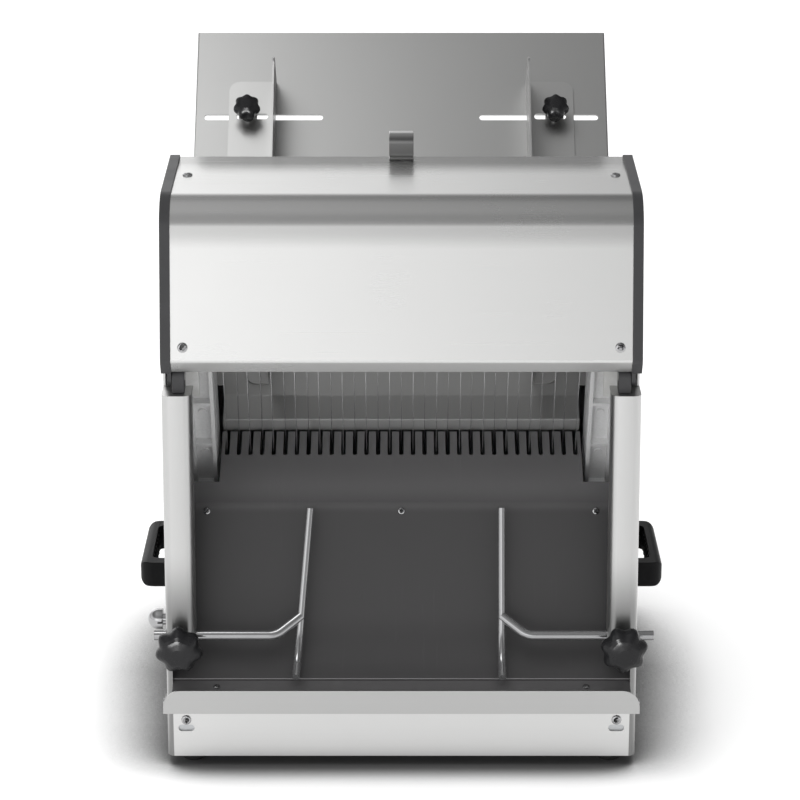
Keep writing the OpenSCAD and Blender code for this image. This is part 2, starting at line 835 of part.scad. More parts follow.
// Holders
module holder_place() { at_cut() translate([0, rod_y, rod_z]) children(); }
module clamp_blocks() {
  x0 = body_half - column_w + sheet + seat;
  color("dimgray") both_sides() at_cut() difference() {
    translate([0, 0, rod_z - block_half]) linear_extrude(2 * block_half) polygon([
      [x0, -block_back], [x0, -block_front + block_chamfer], [x0 + block_chamfer, -block_front],
      [wall_in - block_chamfer, -block_front], [wall_in, -block_front + block_chamfer], [wall_in, -block_back]
    ]);
    translate([0, rod_y, rod_z]) rod_x(0, body_half, bush_r + fit);
    translate([clamp_x, -block_front - over, rod_z]) rotate([-90, 0, 0])
      cylinder(r = clamp_screw_r + fit, h = block_front + rod_y);
  }
}
module holder_bush() {
  color("goldenrod") holder_place() difference() {
    rod_x(body_half - column_w + sheet + seat, wall_in, bush_r);
    rod_x(0, body_half, cross_rod_d / 2 + fit);
  }
}
module holder_bush_right() { holder_bush(); }
module holder_bush_left() { left_side() holder_bush(); }
// The curved rod runs beside the tray's slope, then turns out along the toe
slope_dir = dir(tray_slope);
curved_low = tray_bend + curved_gap * left(slope_dir) - tray_drop * slope_dir;
curved_pts = [
  tray_bend + curved_gap * left(slope_dir) - curved_top * slope_dir,
  curved_low,
  curved_low - curved_toe * dir(curved_toe_slope)
];
curved_run = curved_bend_r * tan((tray_slope - curved_toe_slope) / 2);
curved_start = curved_low + curved_run * slope_dir;
curved_end = curved_low - curved_run * dir(curved_toe_slope);
curved_centre = curved_start + curved_bend_r * left(slope_dir);
join_share = 0.76;
join_pt = curved_pts[0] + join_share * (curved_low - curved_pts[0]);
// The cross rod lies along the machine, then bends in its own tilted plane towards the curved rod.
// A bend is a hair thicker than the straight lengths, which run into it.
module cross_rod(rod_end) {
  r = cross_rod_d / 2;
  rise = norm(join_pt - [rod_y, rod_z]);
  a = atan2(rise, cross_bend_x - curved_x);
  centre = [cross_bend_x + cross_bend_r * tan(a / 2), cross_bend_r];
  bent = centre + cross_bend_r * dir(-90 - a);
  into = bent + over * dir(-a);
  rotate([heading([rod_y, rod_z], join_pt), 0, 0]) {
    rod_x(centre[0] - over, rod_end, r);
    translate([centre[0], centre[1], 0]) rotate(-90 - a) rotate_extrude(angle = a)
      translate([cross_bend_r, 0]) circle(r + fit);
    rod_between([into[0], into[1], 0], [curved_x, rise, 0], r);
  }
}
module curved_rod() {
  r = curved_rod_d / 2;
  start = curved_start - over * slope_dir;
  end = curved_end + over * dir(curved_toe_slope);
  rod_between([0, curved_pts[0][0], curved_pts[0][1]], [0, start[0], start[1]], r);
  translate([0, curved_centre[0], curved_centre[1]]) rotate([90, 0, 90]) rotate(curved_toe_slope - 90)
    rotate_extrude(angle = tray_slope - curved_toe_slope) translate([curved_bend_r, 0]) circle(r + fit);
  rod_between([0, end[0], end[1]], [0, curved_pts[2][0], curved_pts[2][1]], r);
}
module holder(rod_end, skew) {
  color("silver") {
    holder_place() cross_rod(rod_end);
    at_cut() translate([curved_x, join_pt[0], join_pt[1]]) rotate([0, -skew, 0])
      translate([0, -join_pt[0], -join_pt[1]]) curved_rod();
  }
}
module holder_right() { holder(rod_end_right, 0); }
module holder_left() { left_side() holder(rod_end_left, left_skew); }
module clamp_knob() {
  hub_back = knob_front - large_knob_h - large_hub_h;
  color("#101010") at_cut() translate([clamp_x, 0, rod_z]) rotate([90, 0, 0]) {
    translate([0, 0, hub_back]) star_knob(large_knob_d, large_knob_h, large_hub_h);
    translate([0, 0, -rod_y + bush_r + run])
      cylinder(r = clamp_screw_r, h = hub_back + rod_y - bush_r - run + over);
  }
}
module clamp_knob_right() { clamp_knob(); }
module clamp_knob_left() { left_side() clamp_knob(); }

// Push button and handles
module switch_collar() {
  color("silver") left_side() at_cut() translate([0, button_y, button_z]) difference() {
    union() {
      rod_x(body_half, body_half + collar_t, collar_r);
      rod_x(frame_in + run, body_half, collar_r - collar_t - fit);
    }
    rod_x(frame_in + run + sheet, body_half + over + collar_t, button_stem_r + fit);
  }
}
module start_button() {
  color("whitesmoke") left_side() at_cut() translate([0, button_y, button_z]) {
    rod_x(wall_in - sheet - button_flat, body_half + button_out, button_stem_r);
    intersection() {
      translate([body_half + button_out, 0, 0]) sphere(button_r);
      rod_x(body_half + button_out - button_flat, body_half + button_out + button_r, button_r);
    }
  }
}
module carry_handle() {
  hole_out = body_half + handle_reach - handle_grip;
  color("#141414") translate([0, cut_y + handle_y, handle_z]) intersection() {
    linear_extrude(handle_h) difference() {
      translate([body_half, 0]) union() {
        square([handle_reach - handle_corner, handle_len]);
        translate([0, handle_corner]) square([handle_reach, handle_len - 2 * handle_corner]);
        for (y = [handle_corner, handle_len - handle_corner])
          translate([handle_reach - handle_corner, y]) circle(handle_corner);
      }
      rounded_rect([body_half + handle_wall, handle_end], [hole_out, handle_len - handle_end], handle_hole_r);
    }
    translate([0, handle_len, 0]) rotate([90, 0, 0]) linear_extrude(handle_len)
      rounded_rect([body_half - handle_reach, 0], [body_half + handle_reach, handle_h], handle_round);
  }
}
module carry_handle_right() { carry_handle(); }
module carry_handle_left() { left_side() carry_handle(); }

// Hood
module at_hood_screws() {
  both_sides() for (leg = [[1, front_angle, hood_screw_low], [2, top_angle, hood_top - hood_screw_back]]) {
    place = hood_pts[leg[0]] + leg[2] * dir(leg[1]);
    on_line(place, leg[1]) translate([cap_half - hood_screw_in, 0, 0]) children();
  }
}
module hood_shell() {
  color("gainsboro") difference() {
    at_cut() across(-cap_half, cap_half) polygon(sheet_outline(hood_pts, [lip_bend_r, hood_r], -sheet));
    at_hood_screws() translate([0, 0, -sheet - over]) cylinder(r = screw_r + fit, h = sheet + 2 * over);
  }
}
module hood_end() {
  skin = [for (s = stations(hood_pts, [lip_bend_r, hood_r])) s[0] + cap_proud * s[1]];
  back = hood_pts[3] + cap_proud * left(dir(top_angle));
  color("#303030") at_cut() difference() {
    union() {
      across(cap_half, body_half) polygon(concat(skin, [
        back - [0, cap_corner], [cap_tail, cap_low + cap_corner], [cap_tail - cap_corner, cap_low],
        [-hood_set, cap_low]
      ]));
      across(cap_half, cap_half + lug_w) {
        translate([hinge_y, hinge_z]) circle(post_r);
        translate([hinge_y - post_r, hinge_z]) square([2 * post_r, cap_low - hinge_z + over]);
      }
    }
    translate([0, hinge_y, hinge_z]) rod_x(cap_half - over, cap_half + lug_w + over, hinge_r + fit);
  }
}
module hood_end_right() { hood_end(); }
module hood_end_left() { left_side() hood_end(); }
module hinge_posts() {
  color("#2a2a2a") both_sides() at_cut() difference() {
    across(cap_half - run - post_w, cap_half - run) {
      translate([hinge_y, hinge_z]) circle(post_r);
      translate([hinge_y - post_r, column_top]) square([2 * post_r, hinge_z - column_top]);
    }
    translate([0, hinge_y, hinge_z]) rod_x(cap_half - post_w - over, cap_half + over, hinge_r + fit);
  }
}
module hinge_pins() {
  color("gray") both_sides() at_cut() translate([0, hinge_y, hinge_z])
    rod_x(cap_half - run - post_w, cap_half + lug_w, hinge_r);
}
module hood_tab() {
  top_dir = dir(top_angle);
  foot = hood_pts[3] + seat * left(top_dir);
  pts = [
    foot - tab_foot * top_dir, foot - tab_r * top_dir, foot - tab_r * top_dir + [0, tab_h],
    foot - tab_r * top_dir + [tab_lean, tab_h + sheet]
  ];
  color("silver") at_cut() across(-tab_w / 2, tab_w / 2)
    polygon(sheet_outline(pts, [tab_r, tab_top_r], sheet));
}
module hood_screws() { color("silver") at_hood_screws() button_screw(wide_head_r); }

// Blade frames, drawn in the middle of their travel on the front side of the feed
module frame_place(side) { in_feed() translate([0, 0, -side * throw]) scale_y(side) children(); }
// The front frame's shapes mirrored for the rear frame
module scale_y(side) { mirror([0, side > 0 ? 1 : 0, 0]) children(); }
module beam(side, reach) {
  pocket_h = rib_pitch - rib_t;
  pockets = [for (i = [0:rib_count - 1]) rib_foot - beam_foot + rib_t / 2 + i * rib_pitch];
  color("gainsboro") frame_place(side) {
    difference() {
      box([beam_in, -beam_far, -beam_foot], [beam_out, -frame_split, beam_top]);
      for (z = pockets) translate([beam_in + rib_t, -beam_far - over, z])
        cube([beam_w - 2 * rib_t, pocket_deep + over, pocket_h]);
    }
    for (z = pockets)
      translate([beam_in + beam_w / 2, -beam_far + pocket_deep + over, z + pocket_h - boss_drop])
        rotate([90, 0, 0]) cylinder(r = boss_r, h = boss_h + over);
    across(beam_in, beam_in + reach) {
      translate([-small_end_y - lug_r, -small_end_drop])
        square([2 * lug_r, small_end_drop - beam_foot + over]);
      translate([-small_end_y, -small_end_drop]) circle(lug_r - fit);
    }
  }
}
front_lug = lug_t;
rear_lug = lug_t + rod_t + rod_gap;
module front_beam_right() { beam(-1, front_lug); }
module front_beam_left() { left_side() beam(-1, front_lug); }
module rear_beam_right() { beam(1, rear_lug); }
module rear_beam_left() { left_side() beam(1, rear_lug); }
function blade_xs(first) = [for (i = [first:2:blade_count - 1]) (i - (blade_count - 1) / 2) * blade_pitch];
module bars(side, first) {
  color("silver") frame_place(side) {
    for (z = [-bar_foot, bar_top - bar_h]) difference() {
      box([-beam_in, -beam_far, z], [beam_in, -frame_split, z + bar_h]);
      for (x = blade_xs(first)) translate([x - slit_w / 2, -blade_split - blade_w - slit_deep, z - over])
        cube([slit_w, blade_w + blade_split, bar_h + 2 * over]);
    }
    for (x = blade_xs(first), z = pin_zs) translate([0, -blade_split - blade_w / 2, z])
      rod_x(x - pin_len / 2, x + pin_len / 2, pin_d / 2);
  }
}
module front_bars() { bars(-1, 0); }
module rear_bars() { bars(1, 1); }
// One blade: a strip with a scalloped cutting edge on the infeed side and a pin hole at each end
module blade(x, side) {
  low = -bar_foot - pin_d - blade_tail;
  high = bar_top + pin_d + blade_tail;
  back = side < 0 ? -blade_split - blade_w : -blade_split;
  edge = side < 0 ? -blade_split : -blade_split - blade_w;
  inward = sign(back - edge);
  wave = [for (i = [0:scallop_count - 1], j = [0:len(scallop_shares) - 1])
    [edge + inward * scallop_deep * scallop_shares[j], (i - 1 + j / len(scallop_shares)) * scallop_pitch]];
  across(x - blade_t / 2, x + blade_t / 2) difference() {
    polygon(concat([[back, low], [edge, low]], wave, [[edge, high], [back, high]]));
    for (z = pin_zs) translate([-blade_split - blade_w / 2, z]) circle(pin_d / 2 + fit);
  }
}
module front_blades() { color("silver") frame_place(-1) for (x = blade_xs(0)) blade(x, -1); }
module rear_blades() { color("silver") frame_place(1) for (x = blade_xs(1)) blade(x, 1); }
module guide_rails() {
  x0 = beam_out + run;
  x1 = beam_out - rail_reach;
  color("white") both_sides() in_feed()
    for (z = [[rail_low_start, rail_low_end], [rail_high_start, rail_high_end]]) {
      box([x0, -beam_far - run - rail_rib, z[0]], [frame_in, beam_far + run + rail_rib, z[1]]);
      box([x1, -frame_split + run, z[0]], [x0 + over, frame_split - run, z[1]]);
      for (s = [0, 1]) mirror([0, s, 0])
        box([x1, beam_far + run, z[0]], [x0 + over, beam_far + run + rail_rib, z[1]]);
    }
}

// Drive
module at_shaft() { in_feed() translate([0, 0, -shaft_drop]) children(); }
module eccentric_shaft() {
  color("gray") at_shaft() {
    rod_x(-shaft_half, shaft_half, shaft_d / 2);
    both_sides() {
      translate([0, 0, throw]) rod_x(rod_x0, rod_x0 + rod_t, ecc_r);
      translate([0, 0, -throw]) rod_x(rod_x1, rod_x1 + rod_t, ecc_r);
    }
  }
}
module rod(side, x0) {
  lift = -side * throw;
  top = [side * small_end_y, shaft_drop - small_end_drop + lift];
  long = norm(top - [0, lift]);
  at_shaft() difference() {
    across(x0, x0 + rod_t) {
      translate([0, lift]) circle(big_end_r);
      translate(top) circle(small_eye_r);
      translate([0, lift]) rotate(heading([0, lift], top)) translate([ecc_r, -shank_w / 2])
        square([long - ecc_r - small_pin_r, shank_w]);
    }
    translate([0, 0, lift]) rod_x(x0 - over, x0 + rod_t + over, ecc_r + fit);
    translate([0, top[0], top[1]]) rod_x(x0 - over, x0 + rod_t + over, small_pin_r + fit);
  }
}
module front_rods() { color("darkgray") both_sides() rod(-1, rod_x0); }
module rear_rods() { color("darkgray") both_sides() rod(1, rod_x1); }
module shaft_bearings() {
  color("slategray") both_sides() at_shaft() difference() {
    union() {
      rod_x(frame_out, frame_out + bearing_flange, bearing_r);
      rod_x(frame_out, frame_out + bearing_t, bearing_boss_r);
    }
    rod_x(frame_out - over, frame_out + bearing_t + over, shaft_d / 2 + fit);
  }
}
module pulley(rim_r, bore_r) {
  groove_r = rim_r - groove_deep;
  flange = (pulley_w - groove_w) / 2;
  translate([pulley_x, 0, 0]) rotate([0, 90, 0]) rotate_extrude() polygon([
    [bore_r, 0], [rim_r, 0], [rim_r, flange], [groove_r, flange], [groove_r, pulley_w - flange],
    [rim_r, pulley_w - flange], [rim_r, pulley_w], [bore_r, pulley_w]
  ]);
}
module drive_pulley() { color("dimgray") at_shaft() pulley(pulley_r, shaft_d / 2 + fit); }
module at_motor() { at_cut() translate([0, motor_y, motor_z]) children(); }
motor_x1 = pulley_x - hub_wall;
module motor_pulley() {
  color("dimgray") at_motor() {
    pulley(pinion_r, motor_shaft_r - over);
    rod_x(motor_x1 - motor_shaft_in, pulley_x + pulley_w, motor_shaft_r);
  }
}
module motor() {
  x0 = motor_x1 - motor_len;
  fin = (motor_len - 2 * motor_bell) / motor_fin_count;
  color("#5b6470") at_motor() difference() {
    union() {
      rod_x(x0 + motor_bell, motor_x1 - motor_bell, motor_r - motor_fin_deep);
      for (i = [0:motor_fin_count - 1]) translate([fin * i, 0, 0])
        rod_x(x0 + motor_bell, x0 + motor_bell + fin * motor_fin_share, motor_r);
      rod_x(x0, x0 + motor_bell, motor_r - motor_bell_in);
      rod_x(motor_x1 - motor_bell, motor_x1, motor_r - motor_bell_in);
      box([x0 + motor_bell, -motor_foot_w / 2, -motor_r - mount_sink],
        [motor_x1 - motor_bell, motor_foot_w / 2, -motor_r - mount_sink + motor_foot_h + motor_fin_deep]);
    }
    rod_x(motor_x1 - motor_shaft_in - over, motor_x1 + over, motor_shaft_r + fit);
  }
}
module motor_mount() {
  top = motor_z - motor_r - mount_sink;
  color("darkgray") at_cut()
    box([-frame_in, motor_y - mount_depth / 2, top - mount_t], [frame_in, motor_y + mount_depth / 2, top]);
}
module belt_loop(grow) {
  c0 = shaft_pt;
  c1 = [motor_y, motor_z];
  r0 = pulley_r - groove_deep + grow;
  r1 = pinion_r - groove_deep + grow;
  a = heading(c0, c1);
  b = acos((r0 - r1) / norm(c1 - c0));
  polygon(concat(arc(c0, r0, a + b, a + 360 - b), arc(c1, r1, a - b, a + b)));
}
module drive_belt() {
  mid = pulley_x + pulley_w / 2;
  color("#202020") at_cut() across(mid - belt_w / 2, mid + belt_w / 2) difference() {
    belt_loop(belt_gap + belt_t);
    belt_loop(belt_gap);
  }
}

base_pan();
rubber_feet();
front_panel();
front_ledge();
front_lip();
side_frame_left();
side_frame_right();
side_cover_left();
side_cover_right();
rear_panel();
infeed_board();
outfeed_tray();
tray_beam();
hinge_posts();
guide_rails();
shaft_bearings();
motor();
motor_mount();
drive_belt();
clamp_blocks();
carry_handle_left();
carry_handle_right();
switch_collar();
tray_screws();
body_screws();
cable_gland();
hood_shell();
hood_end_left();
hood_end_right();
hood_tab();
hood_screws();
hinge_pins();
front_beam_left();
front_beam_right();
front_bars();
front_blades();
rear_beam_left();
rear_beam_right();
rear_bars();
rear_blades();
eccentric_shaft();
drive_pulley();
front_rods();
rear_rods();
motor_pulley();
guide_left();
guide_right();
guide_nut_left();
guide_nut_right();
guide_knob_left();
guide_knob_right();
holder_bush_left();
holder_bush_right();
holder_left();
holder_right();
clamp_knob_left();
clamp_knob_right();
start_button();
crumb_drawer();
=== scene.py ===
"""Dresses a bench bread slicer.

Finishes for its steel, castings and plastics, and finer knobs, handles and screws.
"""

import json
import math

import bmesh
import bpy
from bpy.props import FloatProperty, FloatVectorProperty, IntProperty, PointerProperty
from mathutils import Matrix, Vector


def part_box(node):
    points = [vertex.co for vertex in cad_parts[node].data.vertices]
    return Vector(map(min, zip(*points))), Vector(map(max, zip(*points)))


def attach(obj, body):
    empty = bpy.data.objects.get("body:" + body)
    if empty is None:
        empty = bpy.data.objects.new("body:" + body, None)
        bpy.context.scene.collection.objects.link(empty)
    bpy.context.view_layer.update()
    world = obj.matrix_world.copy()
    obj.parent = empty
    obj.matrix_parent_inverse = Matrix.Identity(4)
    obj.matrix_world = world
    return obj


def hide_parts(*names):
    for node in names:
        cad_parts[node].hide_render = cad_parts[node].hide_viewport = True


bl_info = {
    "name": "Bench Bread Slicer",
    "version": (1, 0, 0),
    "blender": (4, 5, 0),
    "location": "View3D > Sidebar > Slicer",
    "description": "Dresses a bench bread slicer with finishes and fine pieces",
    "category": "Object",
}

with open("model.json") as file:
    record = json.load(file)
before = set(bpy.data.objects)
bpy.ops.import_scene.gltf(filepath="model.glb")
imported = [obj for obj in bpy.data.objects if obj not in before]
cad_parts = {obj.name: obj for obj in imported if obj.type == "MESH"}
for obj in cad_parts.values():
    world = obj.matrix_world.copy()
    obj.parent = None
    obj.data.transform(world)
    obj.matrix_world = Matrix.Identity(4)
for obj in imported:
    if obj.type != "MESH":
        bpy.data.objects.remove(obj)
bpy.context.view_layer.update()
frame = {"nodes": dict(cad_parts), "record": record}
RECORD = frame["record"]
BODY_OF = {node: body for body, nodes in RECORD["behaviour"]["bodies"].items() for node in nodes}
SLOT_OF = {part["node"]: part["material_slot"] for part in RECORD["subparts"]}

# The cutting line, where the bread meets the blades. Places in a side view count from it, in metres,
# and slopes are in degrees.
CUT = Vector((0, -0.084058, 0.286))
TRAY_BEND, TRAY_SLOPE = (-0.084963, -0.036065), 72
LEDGE_FRONT, LEDGE_SLOPE = (-0.186, -0.2011), 13
HOOD_LOW, HOOD_FRONT_SLOPE = (-0.138977, 0.131956), 76.6
HOOD_BEND, HOOD_TOP_SLOPE = (-0.102477, 0.285169), 2.6
HOOD_BEND_START = 0.2603
BOARD_FOOT, BOARD_SLOPE = (0.054033, 0.032929), 46.5
BLADE_TILT = 23


def side_place(start, slope, x, along):
    """A matrix on a sloped line of the side view: Y runs up the slope, and Z stands out of it."""
    a = math.radians(slope)
    spot = Vector((x, start[0] + along * math.cos(a), start[1] + along * math.sin(a)))
    return Matrix.Translation(CUT + spot) @ Matrix.Rotation(a, 4, "X")


# Settings


class SteelSettings(bpy.types.PropertyGroup):
    """Brushed and plated metal"""

    sheet: FloatVectorProperty(
        name="Sheet", description="Colour of the brushed sheet",
        subtype="COLOR", default=(0.62, 0.62, 0.615), min=0, max=1,
    )
    board: FloatVectorProperty(
        name="Board", description="Colour of the satin infeed board",
        subtype="COLOR", default=(0.42, 0.42, 0.416), min=0, max=1,
    )
    tray: FloatVectorProperty(
        name="Tray", description="Colour of the dark tray coat",
        subtype="COLOR", default=(0.058, 0.057, 0.058), min=0, max=1,
    )
    bright: FloatVectorProperty(
        name="Bright", description="Colour of the bright plating",
        subtype="COLOR", default=(0.66, 0.66, 0.67), min=0, max=1,
    )
    cast: FloatVectorProperty(
        name="Castings", description="Colour of the cast beams",
        subtype="COLOR", default=(0.86, 0.86, 0.86), min=0, max=1,
    )
    edge: FloatProperty(
        name="Edge", description="Rounding of a cut sheet's edges",
        subtype="DISTANCE", default=0.0005, min=0.0001, max=0.001,
    )


class PlasticSettings(bpy.types.PropertyGroup):
    """Moulded plastics and rubber"""

    caps: FloatVectorProperty(
        name="Caps", description="Colour of the hood's end caps",
        subtype="COLOR", default=(0.035, 0.035, 0.037), min=0, max=1,
    )
    handles: FloatVectorProperty(
        name="Handles", description="Colour of the carry handles",
        subtype="COLOR", default=(0.007, 0.007, 0.0075), min=0, max=1,
    )
    knobs: FloatVectorProperty(
        name="Knobs", description="Colour of the star knobs",
        subtype="COLOR", default=(0.006, 0.006, 0.0065), min=0, max=1,
    )
    cap_edge: FloatProperty(
        name="Cap Edge", description="Rounding of the end caps' edges",
        subtype="DISTANCE", default=0.0022, min=0.0005, max=0.004,
    )
    lobes: IntProperty(name="Lobes", description="Lobes of a star knob", default=7, min=5, max=9)


class StageSettings(bpy.types.PropertyGroup):
    """Floor, light and camera"""

    floor: FloatVectorProperty(
        name="Floor", description="Colour of the floor",
        subtype="COLOR", default=(0.95, 0.95, 0.95), min=0, max=1,
    )
    sky: FloatProperty(
        name="Sky", description="Strength of the light all round", default=1.0, min=0, max=2,
    )
    sun: FloatProperty(
        name="Sun", description="Strength of the wide overhead light", default=1.75, min=0, max=5,
    )
    box: FloatProperty(
        name="Soft Box", description="Power of the soft box over the infeed", default=6.2, min=0, max=20,
    )
    halo: FloatProperty(
        name="Halo", description="Reach of the shade round the feet",
        subtype="DISTANCE", default=0.145, min=0.01, max=0.5,
    )
    fill: FloatProperty(
        name="Fill", description="Reach of the shade in front",
        subtype="DISTANCE", default=0.056, min=0.01, max=0.2,
    )
    paper: FloatProperty(
        name="Paper", description="Lift of the floor to white", default=0.27, min=0, max=1,
    )
    glint: FloatProperty(
        name="Glint", description="Power of the lamp on the knobs", default=85.0, min=0, max=100,
    )
    inner: FloatProperty(
        name="Inner", description="Power of the light under the hood", default=0.07, min=0, max=1,
    )
    pitch: FloatProperty(
        name="Pitch", description="Camera's look down",
        subtype="ANGLE", default=math.radians(18.5), min=0, max=1.5,
    )
    lens: FloatProperty(
        name="Lens", description="Camera's focal length in millimetres", default=129.15, min=50, max=200,
    )


# Shader maths


class Wire:
    """A value on its way through a material. A sum of wires adds its Math node."""

    def __init__(self, net, socket):
        self.net, self.socket = net, socket

    def __add__(self, other):
        return self.net.math("ADD", self, other)

    def __sub__(self, other):
        return self.net.math("SUBTRACT", self, other)

    def __rsub__(self, other):
        return self.net.math("SUBTRACT", other, self)

    def __mul__(self, other):
        return self.net.math("MULTIPLY", self, other)

    def __pow__(self, other):
        return self.net.math("POWER", self, other)

    __radd__, __rmul__ = __add__, __mul__


class Net:
    """The nodes of one material or of the world"""

    def __init__(self, owner):
        owner.use_nodes = True
        self.tree = owner.node_tree
        self.tree.nodes.clear()
        self.place = None

    def add(self, kind, settings=None, sockets=None):
        """One node: its settings first, then a value or a wire on each named socket."""
        node = self.tree.nodes.new(kind)
        for key, value in (settings or {}).items():
            if key == "stops":
                ramp = node.color_ramp.elements
                while len(ramp) < len(value):
                    ramp.new(1)
                for element, (spot, level) in zip(ramp, value):
                    element.position, element.color = spot, (level, level, level, 1)
            else:
                setattr(node, key, value)
        for key, value in (sockets or {}).items():
            socket = node.inputs[key]
            if isinstance(value, (Wire, bpy.types.NodeSocket)):
                self.tree.links.new(value.socket if isinstance(value, Wire) else value, socket)
            else:
                socket.default_value = value
        return node

    def math(self, operation, first, second):
        made = self.add("ShaderNodeMath", {"operation": operation}, {0: first, 1: second})
        return Wire(self, made.outputs[0])

    def spot(self):
        """Object coordinates, from one node"""
        if self.place is None:
            self.place = self.add("ShaderNodeTexCoord").outputs["Object"]
        return self.place

    def parts(self, vector=None):
        """Wires for X, Y and Z of a vector, or of the Object coordinates"""
        made = self.add("ShaderNodeSeparateXYZ", None, {0: self.spot() if vector is None else vector})
        return [Wire(self, socket) for socket in made.outputs]

    def noise(self, stretch, detail=3.0, rough=0.55):
        """Noise with this many features to a metre along each axis"""
        lie = self.add("ShaderNodeMapping", None, {"Vector": self.spot(), "Scale": stretch})
        made = self.add(
            "ShaderNodeTexNoise", None,
            {"Vector": lie.outputs[0], "Scale": 1.0, "Detail": detail, "Roughness": rough},
        )
        return Wire(self, made.outputs[0])

    def cells(self, scale):
        """A random shade for each of this many cells to a metre"""
        made = self.add("ShaderNodeTexVoronoi", None, {"Vector": self.spot(), "Scale": scale})
        return Wire(self, made.outputs["Color"])

    def rise(self, wire, low, high):
        """0 below low and 1 above high, smooth in between"""
        made = self.add(
            "ShaderNodeMapRange",
            {"interpolation_type": "SMOOTHSTEP"},
            {"Value": wire, "From Min": low, "From Max": high},
        )
        return Wire(self, made.outputs[0])

    def tint(self, share, dark, light):
        """A colour between two"""
        made = self.add("ShaderNodeMix", {"data_type": "RGBA"}, {0: share, 6: (*dark, 1), 7: (*light, 1)})
        return made.outputs[2]

    def mix(self, share, first, second):
        """One colour fading into another"""
        made = self.add("ShaderNodeMix", {"data_type": "RGBA"}, {0: share, 6: first, 7: second})
        return made.outputs[2]

    def relief(self, height, strength, depth, edge=0.0):
        """A normal from a height, over an edge rounding where one is given"""
        sockets = {"Height": height, "Strength": strength, "Distance": depth}
        if edge:
            sockets["Normal"] = self.add("ShaderNodeBevel", {"samples": 4}, {"Radius": edge}).outputs[0]
        return self.add("ShaderNodeBump", None, sockets).outputs[0]

    def finish(self, sockets):
        """The shader, with what feeds it, on the material's surface"""
        shader = self.add("ShaderNodeBsdfPrincipled", None, sockets)
        self.add("ShaderNodeOutputMaterial", None, {"Surface": shader.outputs[0]})


def shade(colour, share):
    """A colour made lighter or darker by a share"""
    return tuple(max(0.0, min(1.0, c * share)) for c in colour)


MADE = {}


def material(name):
    """The net of a new material"""
    MADE[name] = bpy.data.materials.new(name)
    return Net(MADE[name])


# Brush lines to a metre along each axis
ALONG_X = (6, 900, 900)
ALONG_Z = (900, 900, 6)
BOARD_GRAIN = (1500, 14, 1500)


def brushed_sheet(name, colour, lay, rough=0.27, roll=None, ease=None, dull=None, crown=None):
    """Steel sheet with fine brush lines, faint cloudy wiping and a few longer scratches.

    roll: where the sheet starts to droop towards its rear edge, over what length and how far.
    ease: the height at which the sheet eases into a bend, from how far below to how far above it,
        and how far it falls.
    dull: painted shade: the heights below which its front darkens, and the share of its colour left below
    them.
    crown: how far to each side the middle of a crowned front lies, and how fast it falls from there.
    """
    net = material(name)
    x, y, z = net.parts()
    fine = net.noise(lay, 3.0, 0.5)
    broad = net.noise(tuple(s * 0.28 for s in lay), 2.0)
    cloud = net.noise((9, 9, 9), 2.0)
    scratch = net.rise(net.noise(tuple(s * 0.5 for s in lay), 1.0), 0.72, 0.80)
    streak = fine * 0.6 + broad * 0.4
    height = streak * 6e-7
    if crown:
        middle, fall = crown
        aside = net.math("ABSOLUTE", x, 0)
        height = height - (aside - middle) ** 2.0 * fall
    if ease:
        spot, below, above, fall = ease
        height = height - net.rise(z, spot - below, spot + above) * fall
    if roll:
        start, length, droop = roll
        past = net.add(
            "ShaderNodeMapRange", None, {"Value": y, "From Min": start, "From Max": start + length}
        )
        height = height - Wire(net, past.outputs[0]) ** 2.0 * droop
    wiped = net.rise(streak + cloud * 0.25, 0.35, 0.9)
    paint = net.tint(wiped, shade(colour, 0.992), shade(colour, 1.008))
    # Painted shade: below the given heights, faces that look to the front are darkened to a share of the
    # colour
    if dull:
        low, high, share = dull
        facing = net.parts(net.add("ShaderNodeNewGeometry").outputs["Normal"])
        front = net.rise(facing[1] * -1, 0.2, 0.9)
        worn_and_painted_shade = (1 - net.rise(z, low, high)) * front
        paint = net.mix(worn_and_painted_shade, paint, net.tint(streak, shade(colour, share), shade(colour, share * 1.03)))
    net.finish({
        "Base Color": paint,
        "Metallic": 1.0,
        "Roughness": streak * 0.015 + cloud * 0.04 + scratch * 0.02 + (rough - 0.03),
        "Normal": net.relief(height, 1.0, 1.0),
    })


# How far behind the blades the blasted fold and the worn run of the infeed fade out; the worn run also
# carries painted shade
FOLD_END = (0.0257, 0.0262)
WORN_END = (0.0622, 0.0632)


def infeed_sheet(name, colour):
    """Satin board: its run to the blades is rougher from use and darker with painted shade; the fold at
    the blades is blasted
    """
    net = material(name)
    grain = net.noise(BOARD_GRAIN, 3.0, 0.5)
    cloud = net.noise((7, 7, 7), 2.0)
    _, y, z = net.parts()
    tilt = math.radians(BLADE_TILT)
    along = y * math.cos(tilt) + z * math.sin(tilt)
    blades = CUT.y * math.cos(tilt) + CUT.z * math.sin(tilt)
    fold, worn_and_painted_shade = (
        1 - net.rise(along, blades + low, blades + high) for low, high in (FOLD_END, WORN_END)
    )
    speck = net.noise((1100, 1100, 1100), 2.0)
    # Base colour: the worn run is painted a little darker than the board, as painted shade
    net.finish({
        "Base Color": net.mix(
            worn_and_painted_shade, net.tint(grain * 0.5 + cloud * 0.5, shade(colour, 0.97), shade(colour, 1.03)),
            net.tint(fold * (0.6 + speck * 0.8), shade(colour, 0.95), shade(colour, 1.20)),
        ),
        "Metallic": 1 - fold * 0.9,
        "Roughness": 0.38 + grain * 0.06 + cloud * 0.04 + worn_and_painted_shade * 0.08,
        "Normal": net.relief(grain, 0.012, 0.0004),
    })


# Heights round the tray's bend over which the painted light on the slotted run starts, and how far in
# front of the cutting line the painted highlight on the toe's cut edge ends
TRAY_PAINTED_LIGHT = (-0.010, 0.012)
TOE_PAINTED_HIGHLIGHT = (-0.1648, -0.1640)


